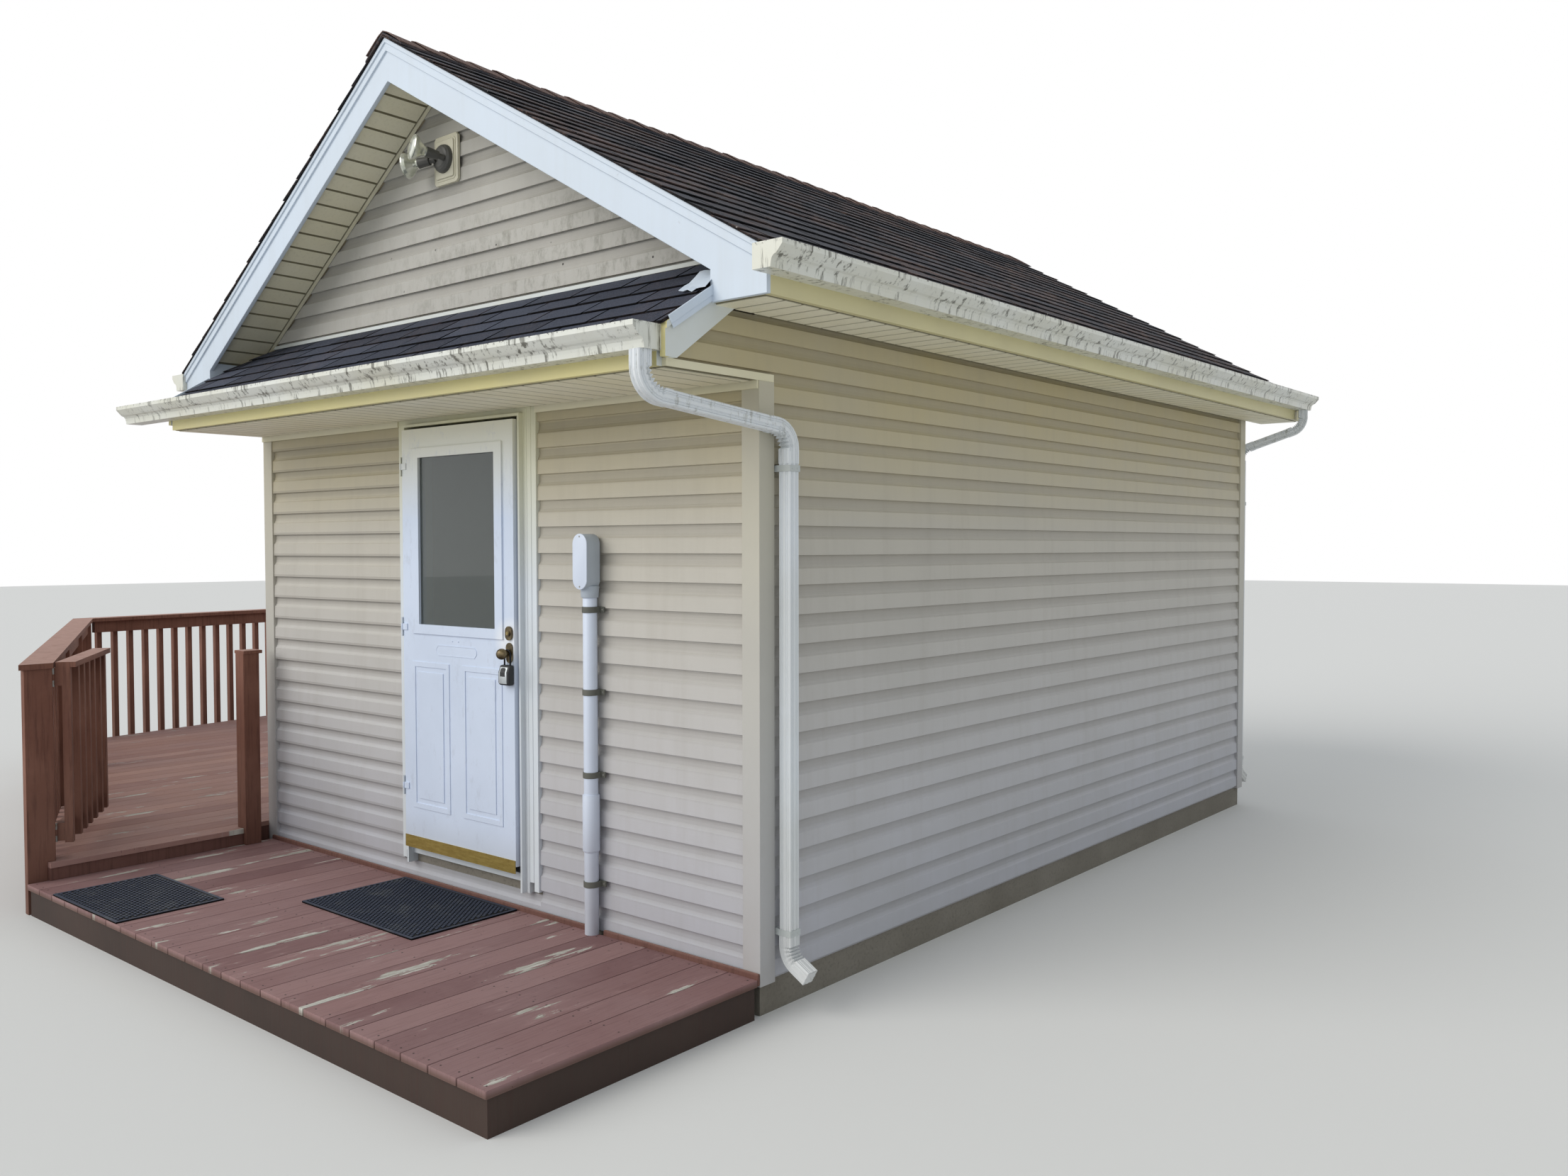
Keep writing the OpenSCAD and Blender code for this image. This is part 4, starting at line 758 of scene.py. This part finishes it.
corner_low, corner_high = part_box("corner_posts")
outlet_low, outlet_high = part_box("pent_gutter")
make_spout("front_downspout", (corner_high.x - 0.0395, outlet_high.y - 0.059),
           (corner_high.x + 0.015 + SPOUT_H, corner_low.y + 0.1195), outlet_low.z, 0.055, 6.7, 0, 0.021)
make_spout("rear_downspout", (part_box("eave_fascias")[1].x + 0.046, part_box("rake_boards")[1].y - 0.134),
           (corner_high.x - 0.045, corner_high.y + 0.01 + SPOUT_H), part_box("eave_gutters")[1].z - 0.088,
           0.05, 20, 90, 0.01)

# Door frame: white vinyl-wrapped jambs with their narrow trim strips, painted cream higher up for the
# warm light under the pent roof, and bluish lower down.
frame_white, tree, shader = finish("frame_white", 0.42)
masks = worn(tree)
tone = mix(tree, band(tree, here(tree)[3], 1.6, 2.4), paint(214, 222, 230), paint(224, 220, 180))
tone = over(tree, tone, masks["Mottle"], 0.4, paint(200, 202, 198))
tone = over(tree, tone, masks["Streaks"], 0.15, paint(160, 158, 146))
coat(tree, shader, tone)
dress(frame_white, "door_frame")
round_edges(0.0015, "door_frame")

# Door leaf: pressed steel with a raised glazing frame and two embossed panels. The white paint
# is chalky and scuffed, and fresher round the lock plates.
BOLT_Z = 1.393
box_low, box_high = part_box("lockbox")
lock_x = (box_low.x + box_high.x) / 2
leaf_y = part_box("door_lock")[1].y
door_paint, tree, shader = finish("door_paint", 0.38)
masks = worn(tree)
place, _, _, height = here(tree)
tone = mix(tree, times(tree, masks["Mottle"], 0.55), paint(208, 220, 240), paint(192, 204, 224))
# Painted light: the top of the leaf, under the pent roof, turns warm cream.
tone = mix(tree, band(tree, height, 1.9, 2.35), tone, paint(226, 224, 204))
scuff = band(tree, noise(tree, place, (7, 7, 3), 2.4, 9.0, 0.78), 0.56, 0.66)
tone = over(tree, tone, scuff, 0.35, paint(176, 184, 200))
lock_middle = (lock_x, leaf_y, BOLT_Z - 0.033)
from_lock = put(tree, "ShaderNodeVectorMath", {"operation": "DISTANCE"}, i0=place, i1=lock_middle)
fresh = band(tree, from_lock.outputs["Value"], 0.11, 0.05)
tone = over(tree, tone, fresh, 0.8, paint(238, 242, 248))
tone = over(tree, tone, band(tree, height, 0.5, 0.36), 0.35, paint(176, 176, 172))
coat(tree, shader, tone)
dress(door_paint, "door_leaf")
round_edges(0.0032, "door_leaf")


# Letter slot: a pressed blanking plate with clipped corners over the old opening, painted with
# the leaf, and the heads of the two screws above it.
def only_verts(parts):
    """The vertices among parts of a mesh."""
    return [part for part in parts if isinstance(part, bmesh.types.BMVert)]


def draw_out(mesh, corners, way):
    """Draws a flat outline out into a solid. Returns the face that has moved."""
    face = mesh.faces.new([mesh.verts.new(corner) for corner in corners])
    drawn = bmesh.ops.extrude_face_region(mesh, geom=[face])["geom"]
    bmesh.ops.translate(mesh, verts=only_verts(drawn), vec=way)
    return [part for part in drawn if isinstance(part, bmesh.types.BMFace)]


def clipped_plate(mesh, middle, half_w, half_h, clip, depth):
    """Adds a plate with clipped corners, drawn out towards -Y. Returns its front face."""
    ring = []
    for sx, sz in ((-1, -1), (1, -1), (1, 1), (-1, 1)):
        tips = [(sx * half_w, sz * (half_h - clip)), (sx * (half_w - clip), sz * half_h)]
        ring += tips if sx * sz > 0 else tips[::-1]
    corners = [(middle[0] + x, middle[1], middle[2] + z) for x, z in ring]
    return draw_out(mesh, corners, (0, -depth, 0))


SLOT_X, SLOT_Z = 0.0155, 1.291
SLOT_HALF_W, SLOT_HALF_H = 0.1565, 0.025
slot_mesh = bmesh.new()
plate_face = clipped_plate(slot_mesh, (SLOT_X, leaf_y + 0.001, SLOT_Z), SLOT_HALF_W, SLOT_HALF_H,
                           clip=0.018, depth=0.0032)
bmesh.ops.inset_region(slot_mesh, faces=plate_face, thickness=0.004, depth=0)
bmesh.ops.inset_region(slot_mesh, faces=plate_face, thickness=0.0015, depth=-0.0014)
bmesh.ops.recalc_face_normals(slot_mesh, faces=slot_mesh.faces)
for x in (-0.012, 0.034):
    spot = Matrix.Translation((x, leaf_y, 1.337)) @ Matrix.Rotation(math.radians(90), 4, "X")
    bmesh.ops.create_uvsphere(slot_mesh, u_segments=10, v_segments=6, radius=0.0035, matrix=spot)
new_piece("letter_slot_cover", slot_mesh, door_paint, body="door", sharp=20)

# Pane: clear float glass, held by the raised frame of the leaf. It is a little grey-green, and
# the room behind it is dark.
pane, _, shader = finish("pane", 0.02)
shader.inputs["Base Color"].default_value = paint(176, 186, 184)
shader.inputs["Transmission Weight"].default_value = 0.9
shader.inputs["IOR"].default_value = 1.5
dress(pane, "door_glass")

# Door sweep: a bent brass strip screwed to the foot of the leaf, dull and brown with age and
# rubbed in bands along its length.
brass, tree, shader = finish("sweep_brass", 0.42, metallic=0.7)
rubbed = noise(tree, here(tree)[0], (2, 2, 12), 6.0, 6.0, 0.7)
tone = mix(tree, band(tree, rubbed, 0.35, 0.65), paint(146, 126, 66), paint(176, 156, 90))
coat(tree, shader, over(tree, tone, worn(tree)["Speckle"], 0.35, paint(110, 88, 48)))
dress(brass, "door_sweep")


# Lock set: antique-finished brass knob and deadbolt on oblong plates, rubbed paler where
# hands meet them, with the key plug in the bolt.
def grained(name, roughness, metallic, scale, detail, first, second, share=1.0, relief=0.0):
    """A material with a fine even grain between two colours, and with relief where asked."""
    made, tree, shader = finish(name, roughness, metallic)
    fine = noise(tree, here(tree)[0], (1, 1, 1), scale, detail)
    coat(tree, shader, mix(tree, times(tree, fine, share), first, second))
    if relief:
        bump(tree, shader, fine, relief)
    return made


old_brass, tree, shader = finish("antique_brass", 0.36, metallic=0.75)
rubbed = noise(tree, here(tree)[0], (1, 1, 1), 22.0, 6.0, 0.65)
coat(tree, shader, mix(tree, band(tree, rubbed, 0.4, 0.62), paint(80, 70, 54), paint(130, 116, 88)))
dress(old_brass, "door_lock")
round_edges(0.0016, "door_lock")
KEYWAY_HALF = 0.0009
plug_mesh = bmesh.new()
spot = Matrix.Translation((lock_x, leaf_y - 0.0145, BOLT_Z)) @ Matrix.Rotation(math.radians(90), 4, "X")
bmesh.ops.create_cone(plug_mesh, cap_ends=True, segments=24, radius1=0.008, radius2=0.0074, depth=0.003,
                      matrix=spot)
slab(plug_mesh, (lock_x - KEYWAY_HALF, leaf_y - 0.0166, BOLT_Z - 0.0045),
     (lock_x + KEYWAY_HALF, leaf_y - 0.0155, BOLT_Z + 0.0045))
plug_tone = grained("key_plug", 0.3, 0.8, 240.0, 2.0, paint(186, 168, 116), paint(146, 128, 84))
new_piece("key_plug", plug_mesh, plug_tone, body="door")

# Key lockbox: a black rubber-clad body on a steel shackle, with a silver tapered door and a
# dark arched window over its dials.
CASE_H = 0.090
LOOP_R = 0.020
ROD_R = 0.004
black_case = grained("lockbox_black", 0.6, 0.0, 160.0, 4.0, paint(30, 32, 36), paint(50, 52, 56),
                     relief=0.0003)
body_top = box_low.z + CASE_H
case = bmesh.new()
profile = [(0, 0), (-0.026, 0), (-0.034, 0.010), (-0.034, 0.056), (-0.022, 0.088), (0, CASE_H)]
draw_out(case, [(box_low.x, box_high.y + y, box_low.z + z) for y, z in profile],
         (box_high.x - box_low.x, 0, 0))
bmesh.ops.recalc_face_normals(case, faces=case.faces)
soften(case, 0.006, 3)
lockbox_case = new_piece("lockbox_case", case, black_case, body="door", sharp=60)
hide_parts("lockbox")

shackle = bmesh.new()
loop_y = leaf_y - 0.014
loop_z = box_high.z - LOOP_R - ROD_R
leg_way = (0, 0, body_top - loop_z - ROD_R)
foot = Matrix.Translation((lock_x + LOOP_R, loop_y, loop_z))
circle = bmesh.ops.create_circle(shackle, cap_ends=False, segments=12, radius=ROD_R, matrix=foot)["verts"]
edges = list({e for v in circle for e in v.link_edges})
leg = bmesh.ops.extrude_edge_only(shackle, edges=edges)["geom"]
bmesh.ops.translate(shackle, verts=only_verts(leg), vec=leg_way)
bmesh.ops.spin(shackle, geom=edges, cent=(lock_x, loop_y, loop_z), axis=(0, -1, 0),
               angle=math.pi, steps=16, use_duplicate=False)
open_end = [e for e in shackle.edges if e.is_boundary
            and all(v.co.x < lock_x and v.co.z > loop_z - 0.001 for v in e.verts)]
leg = bmesh.ops.extrude_edge_only(shackle, edges=open_end)["geom"]
bmesh.ops.translate(shackle, verts=only_verts(leg), vec=leg_way)
bmesh.ops.recalc_face_normals(shackle, faces=shackle.faces)
shackle_steel = grained("shackle_steel", 0.3, 0.9, 90.0, 3.0, paint(44, 46, 50), paint(26, 28, 32))
new_piece("lockbox_shackle", shackle, shackle_steel, body="door")

FOLD = math.radians(-20.5)
LID_T = 0.0022
WINDOW_T = 0.0034
WINDOW_R = 0.017
silver = grained("lockbox_silver", 0.35, 0.35, 120.0, 3.0, paint(196, 202, 206), paint(160, 166, 170),
                 share=0.5)
front_y = box_low.y
fold_z = body_top - 0.034
lid_turn = Matrix.Translation((lock_x, front_y, fold_z)) @ Matrix.Rotation(FOLD, 4, "X")
lid = bmesh.new()
slab(lid, (-0.025, -LID_T, -0.002), (0.025, 0.003, 0.026), lid_turn)
slab(lid, (lock_x - 0.027, front_y - LID_T, body_top - 0.082), (lock_x + 0.027, front_y + 0.003, fold_z))
soften(lid, 0.0018, 2)
new_piece("lockbox_door", lid, silver, body="door")
window = bmesh.new()
slab(window, (-WINDOW_R, -WINDOW_T, -0.001), (WINDOW_R, 0.0, 0.016), lid_turn)
slab(window, (lock_x - WINDOW_R, front_y - WINDOW_T, fold_z - 0.016), (lock_x + WINDOW_R, front_y, fold_z))
arch = lid_turn @ Matrix.Translation((0, -WINDOW_T / 2, 0.015)) @ Matrix.Diagonal((1, 1, 0.45, 1))
bmesh.ops.create_cone(window, cap_ends=True, segments=24, radius1=WINDOW_R, radius2=WINDOW_R,
                      depth=WINDOW_T, matrix=arch @ Matrix.Rotation(math.radians(90), 4, "X"))
soften(window, 0.0008, 1)
new_piece("lockbox_window", window, black_case, body="door")

# Hinges: butt hinges painted over with the door frame, and bare steel ones on the gate,
# dulled and rusting in spots.
steel = worn_finish("hinge_steel", 0.45, paint(150, 150, 146), ("Speckle", 1.0, paint(122, 96, 74)),
                    metallic=0.7)
dress(steel, "gate_hinges")
dress(frame_white, "door_hinges")

# Conduit: white plastic pipe with a slip coupling low down, an outlet body with a screwed
# cover at its top, and dark grey two-hole straps.
PIPE_R = 0.030
PIPE_TOP = 1.590
CUFF_R = PIPE_R + 0.006
CUFF_LOW, CUFF_HIGH = 0.506, 0.738
STRAP_R = PIPE_R + 0.004
STRAP_Z = (0.352, 0.810, 1.156, 1.500)
STRAP_H = 0.025
conduit_low, conduit_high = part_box("conduit")
pipe_x = (conduit_low.x + conduit_high.x) / 2
pipe_y = wall_y - 0.0363
pipe_white = worn_finish("pipe_white", 0.4, paint(212, 222, 240), ("Mottle", 0.4, paint(198, 206, 220)),
                         ("Ground", 0.4, paint(160, 156, 148)))
outlet_grey = worn_finish("outlet_grey", 0.45, paint(176, 186, 198), ("Mottle", 0.5, paint(160, 170, 180)))
strap_grey = worn_finish("strap_grey", 0.55, paint(86, 88, 82), ("Mottle", 1.0, paint(104, 104, 96)))


def rod(mesh, start, end, radius, segments=32, end_radius=None):
    """Adds a closed cylinder or cone between two points."""
    start = Vector(start)
    end = Vector(end)
    turn = (end - start).to_track_quat("Z", "Y").to_matrix().to_4x4()
    bmesh.ops.create_cone(mesh, cap_ends=True, segments=segments, radius1=radius,
                          radius2=radius if end_radius is None else end_radius,
                          depth=(end - start).length, matrix=Matrix.Translation((start + end) / 2) @ turn)


conduit_mesh = bmesh.new()
for low_z, high_z, radius, end_radius in (
        (conduit_low.z, PIPE_TOP, PIPE_R, PIPE_R), (CUFF_LOW, CUFF_HIGH, CUFF_R, CUFF_R),
        (CUFF_LOW - 0.005, CUFF_LOW, PIPE_R + 0.0035, CUFF_R),
        (CUFF_HIGH, CUFF_HIGH + 0.003, CUFF_R, PIPE_R + 0.003)):
    rod(conduit_mesh, (pipe_x, pipe_y, low_z), (pipe_x, pipe_y, high_z), radius, 40, end_radius)
soften(conduit_mesh, 0.0012, 2)
conduit_pipe = new_piece("conduit_pipe", conduit_mesh, pipe_white)
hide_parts("conduit")


def oblong(mesh, half, low_z, high_z, front_y, back_y):
    """Adds an upright form with round ends to the conduit, drawn out between two planes."""
    ring = []
    for k in range(33):
        a = math.pi * (k if k < 17 else k - 1) / 16
        z = high_z - half if k < 17 else low_z + half
        ring.append((pipe_x + half * math.cos(a), back_y, z + half * math.sin(a)))
    draw_out(mesh, ring, (0, front_y - back_y, 0))
    bmesh.ops.recalc_face_normals(mesh, faces=mesh.faces)


outlet_mesh = bmesh.new()
outlet_y = wall_y - 0.016
oblong(outlet_mesh, 0.0425, 1.598, 1.827, outlet_y - 0.070, outlet_y)
rod(outlet_mesh, (pipe_x, pipe_y, 1.562), (pipe_x, pipe_y, 1.612), 0.036, 40, 0.040)
soften(outlet_mesh, 0.003, 2)
new_piece("conduit_outlet", outlet_mesh, outlet_grey, sharp=50)
cover_mesh = bmesh.new()
oblong(cover_mesh, 0.0435, 1.597, 1.828, outlet_y - 0.076, outlet_y - 0.0705)
soften(cover_mesh, 0.0015, 2)
new_piece("conduit_cover", cover_mesh, pipe_white, sharp=50)
screw_mesh = bmesh.new()
for z in (1.609, 1.816):
    rod(screw_mesh, (pipe_x, outlet_y - 0.075, z), (pipe_x, outlet_y - 0.0775, z), 0.0042, 14, 0.0034)

strap_mesh = bmesh.new()
for z in STRAP_Z:
    rod(strap_mesh, (pipe_x, pipe_y, z), (pipe_x, pipe_y, z + STRAP_H), STRAP_R, 40)
    slab(strap_mesh, (pipe_x - STRAP_R, pipe_y, z), (pipe_x + STRAP_R, wall_y, z + STRAP_H))
    for side in (-1, 1):
        near, far = sorted((pipe_x + side * (PIPE_R - 0.002), pipe_x + side * 0.055))
        slab(strap_mesh, (near, wall_y - 0.010, z + 0.001), (far, wall_y - 0.001, z + STRAP_H - 0.001))
        screw_x = pipe_x + side * 0.046
        screw_z = z + STRAP_H / 2
        rod(screw_mesh, (screw_x, wall_y - 0.009, screw_z), (screw_x, wall_y - 0.0125, screw_z),
            0.0048, 12, 0.0035)
soften(strap_mesh, 0.0012, 1)
new_piece("conduit_straps", strap_mesh, strap_grey)
new_piece("conduit_screws", screw_mesh, steel)

# Floodlight: a cream mounting block with clipped corners let into the siding, a dark round
# canopy and two swivelling sockets, with clear reflector bulbs.
block_cream = worn_finish("block_cream", 0.5, paint(222, 218, 198), ("Mottle", 0.6, paint(200, 194, 170)))
lamp_dark = worn_finish("lamp_base", 0.45, paint(78, 78, 76), ("Mottle", 0.6, paint(100, 98, 92)))
dress(lamp_dark, "floodlight")
light_low, light_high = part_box("floodlight")
block_x = light_high.x - 0.09
block_z = (light_low.z + light_high.z) / 2
block_mesh = bmesh.new()
for half_w, half_h, clip, depth, proud in (
        (0.0905, 0.1125, 0.014, 0.0145, 0.0), (0.076, 0.096, 0.012, 0.0035, 0.014),
        (0.0685, 0.0865, 0.008, 0.0245, 0.0)):
    clipped_plate(block_mesh, (block_x, wall_y - proud, block_z), half_w, half_h, clip, depth)
bmesh.ops.recalc_face_normals(block_mesh, faces=block_mesh.faces)
soften(block_mesh, 0.0022, 2)
new_piece("light_block", block_mesh, block_cream)

lamp_glass, tree, shader = finish("lamp_glass", 0.12, metallic=0.55)
rings = band(tree, noise(tree, here(tree)[0], (1, 1, 1), 26.0, 3.0), 0.35, 0.65)
coat(tree, shader, mix(tree, rings, paint(196, 200, 184), paint(228, 230, 222)))
dress(lamp_glass, "lamps")

# Entry deck: pressed softwood boards under a thin purple-brown stain that has scuffed through
# to weathered wood in long patches, screwed down over the beams.
BOARD_N = 24
BOARD_GAP = 0.004
deck_low, deck_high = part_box("entry_deck_boards")
board_step = (deck_high.x - deck_low.x + BOARD_GAP) / BOARD_N


def deck_finish(name, first, step, stain, pale, bare_share, dark_below=None):
    """Stained deck boards that run along Y, toned board by board from the first one's edge."""
    made, tree, shader = finish(name, 0.72, specular=0.3)
    masks = worn(tree)
    place, across, along, height = here(tree)
    board = sums(tree, "FLOOR", times(tree, sums(tree, "SUBTRACT", across, first), 1 / step))
    own = put(tree, "ShaderNodeTexWhiteNoise", {"noise_dimensions": "1D"}, W=board).outputs["Value"]
    moved = put(tree, "ShaderNodeCombineXYZ", {}, X=across, Y=along, Z=times(tree, board, 3.7)).outputs[0]
    tone = mix(tree, own, stain, pale)
    tone = over(tree, tone, masks["Mottle"], 0.5, paint(150, 124, 124))
    grain = noise(tree, moved, (60, 2.5, 1), 2.0, 6.0, 0.65)
    tone = over(tree, tone, band(tree, grain, 0.5, 0.7), 0.35, paint(92, 62, 60))
    patch = noise(tree, moved, (5.2, 0.95, 1), 1.7, 12.0, 0.64)
    bare = band(tree, patch, bare_share, bare_share + 0.012)
    wood = mix(tree, band(tree, grain, 0.35, 0.62), paint(140, 136, 124), paint(204, 202, 194))
    tone = mix(tree, bare, tone, wood)
    rim = times(tree, band(tree, patch, bare_share - 0.05, bare_share), 0.3)
    tone = mix(tree, times(tree, rim, sums(tree, "SUBTRACT", 1.0, bare)), tone, paint(170, 140, 138))
    dots = band(tree, noise(tree, place, (1, 1, 1), 55.0, 3.0), 0.68, 0.72)
    tone = over(tree, tone, dots, 0.6, paint(70, 50, 48))
    if dark_below:
        shade = band(tree, height, dark_below - 0.003, dark_below - 0.02)
        tone = over(tree, tone, shade, 0.7, paint(82, 62, 50))
    coat(tree, shader, tone)
    bump(tree, shader, sums(tree, "SUBTRACT", times(tree, grain, 0.6), bare), 0.0009, 0.8)
    return made


entry_stain = deck_finish("entry_stain", deck_low.x, board_step, paint(120, 88, 88), paint(150, 118, 116),
                          0.605, dark_below=deck_high.z)
dress(entry_stain, "entry_deck_boards")
round_edges(0.0035, "entry_deck_boards")

BEAM_HALF = 0.019
MIDDLE_BEAM = 0.681
screw_mesh = bmesh.new()
frame_low, frame_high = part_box("entry_deck_frame")
beams_y = (frame_low.y + BEAM_HALF, corner_low.y - MIDDLE_BEAM, frame_high.y - BEAM_HALF)
for board in range(BOARD_N):
    for beam_y in beams_y:
        for side in (0.03, board_step - BOARD_GAP - 0.03):
            x = deck_low.x + board * board_step + side + random.uniform(-0.004, 0.004)
            y = beam_y + random.uniform(-0.006, 0.006)
            rod(screw_mesh, (x, y, deck_high.z - 0.002), (x, y, deck_high.z + 0.0004), 0.0042, 8, 0.0036)
dark_steel = worn_finish("screw_heads", 0.6, paint(54, 44, 42), ("Speckle", 1.0, paint(84, 66, 58)),
                         metallic=0.4)
new_piece("entry_deck_screws", screw_mesh, dark_steel)


# Timber under and round the decks: dark red-brown stain, checked along the grain, dull where
# it is damp near the ground, and paler on the tops of caps where the sun bleaches it. The entry
# deck's frame, in the shadow under the boards, is painted near black-brown.
def timber_finish(name, stain, pale, top_share):
    """Stained framing timber with upright grain, bleached on its upper faces."""
    made, tree, shader = finish(name, 0.68, specular=0.3)
    masks = worn(tree)
    tone = mix(tree, masks["Mottle"], stain, pale)
    grain = noise(tree, here(tree)[0], (34, 34, 2.2), 2.0, 6.0, 0.65)
    tone = over(tree, tone, band(tree, grain, 0.5, 0.68), 0.45, paint(58, 34, 30))
    bleached = mix(tree, masks["Streaks"], paint(172, 136, 124), paint(140, 102, 92))
    tone = over(tree, tone, band(tree, facing(tree, "Z"), 0.6, 0.95), top_share, bleached)
    tone = over(tree, tone, masks["Ground"], 0.4, paint(70, 54, 48))
    coat(tree, shader, tone)
    bump(tree, shader, grain, 0.0009, 0.7)
    return made


rail_stain = timber_finish("rail_stain", paint(118, 78, 64), paint(144, 102, 86), 0.8)
# Painted shadow: the entry deck's frame is laid near black-brown for the shade under the boards' overhang.
frame_in_shadow = timber_finish("frame_in_shadow", paint(42, 34, 30), paint(60, 48, 42), 0.2)
riser_stain = timber_finish("riser_stain", paint(112, 74, 66), paint(138, 98, 88), 0.5)
dress(rail_stain, "deck_posts", "railing_front", "railing_left", "railing_rear", "gate_leaf")
dress(frame_in_shadow, "entry_deck_frame")
dress(riser_stain, "side_deck_frame", "wall_base_trim")
round_edges(0.003, "deck_posts", "gate_leaf", "railing_front", "railing_left", "railing_rear",
            "side_deck_frame")
round_edges(0.006, "wall_base_trim")

# Side deck: the same boards, laid from the wall outwards and redder, with smaller bare patches
# because fewer feet cross it.
SIDE_STEP = 0.144
side_stain = deck_finish("side_stain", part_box("side_deck_boards")[1].x + 0.002, -SIDE_STEP,
                         paint(148, 110, 100), paint(172, 136, 124), 0.62)
dress(side_stain, "side_deck_boards")
round_edges(0.003, "side_deck_boards")

# Doormats: black moulded rubber, with a rim and close rows of short bars laid like bricks. They
# lie loose on the boards, one at the door and one at the gate.
MAT_BASE = 0.0045
MAT_RIM = 0.014
BAR_L = 0.62
BAR_W = 0.34
DOOR_MAT = (0.865, 0.542)
GATE_MAT = (0.687, 0.4735)
mat_low, mat_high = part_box("doormats")
mat_rubber, tree, shader = finish("mat_rubber", 0.62, specular=0.4)
place, _, _, height = here(tree)
# Painted light: the bar tops carry a blue-grey sheen and the rubber between the bars goes near black in
# shade.
tone = mix(tree, band(tree, height, mat_high.z - 0.004, mat_high.z - 0.0005), paint(8, 9, 12),
           paint(52, 60, 78))
dust = band(tree, noise(tree, place, (1, 1, 1), 9.0, 7.0, 0.7), 0.52, 0.7)
coat(tree, shader, over(tree, tone, dust, 0.4, paint(96, 98, 98)))
door_mat_corner = (mat_high.x - DOOR_MAT[0], mat_high.y - DOOR_MAT[1])
for name, (x0, y0), size, pitch in (("door_mat", door_mat_corner, DOOR_MAT, 0.0240),
                                    ("gate_mat", (mat_low.x, mat_low.y), GATE_MAT, 0.0290)):
    mesh = bmesh.new()
    x1, y1 = x0 + size[0], y0 + size[1]
    z0, z1 = mat_low.z, mat_high.z
    rim_z = z1 - 0.001
    slab(mesh, (x0, y0, z0), (x1, y1, z0 + MAT_BASE))
    slab(mesh, (x0, y0, z0), (x1, y0 + MAT_RIM, rim_z))
    slab(mesh, (x0, y1 - MAT_RIM, z0), (x1, y1, rim_z))
    slab(mesh, (x0, y0 + MAT_RIM, z0), (x0 + MAT_RIM, y1 - MAT_RIM, rim_z))
    slab(mesh, (x1 - MAT_RIM, y0 + MAT_RIM, z0), (x1, y1 - MAT_RIM, rim_z))
    inner_l, inner_w = size[0] - 2 * MAT_RIM, size[1] - 2 * MAT_RIM
    rows = int((inner_w - 0.01) / (pitch * BAR_L))
    columns = int((inner_l - 0.01) / pitch)
    for row in range(rows):
        y = y0 + MAT_RIM + 0.006 + row * (inner_w - 0.012) / rows
        for column in range(columns - row % 2):
            x = x0 + MAT_RIM + 0.007 + (column + 0.5 * (row % 2)) * (inner_l - 0.012) / columns
            slab(mesh, (x, y, z0 + MAT_BASE - 0.001), (x + pitch * BAR_L, y + pitch * BAR_W, z1))
    made = new_piece(name, mesh, mat_rubber)
    if name == "door_mat":
        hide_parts("doormats")
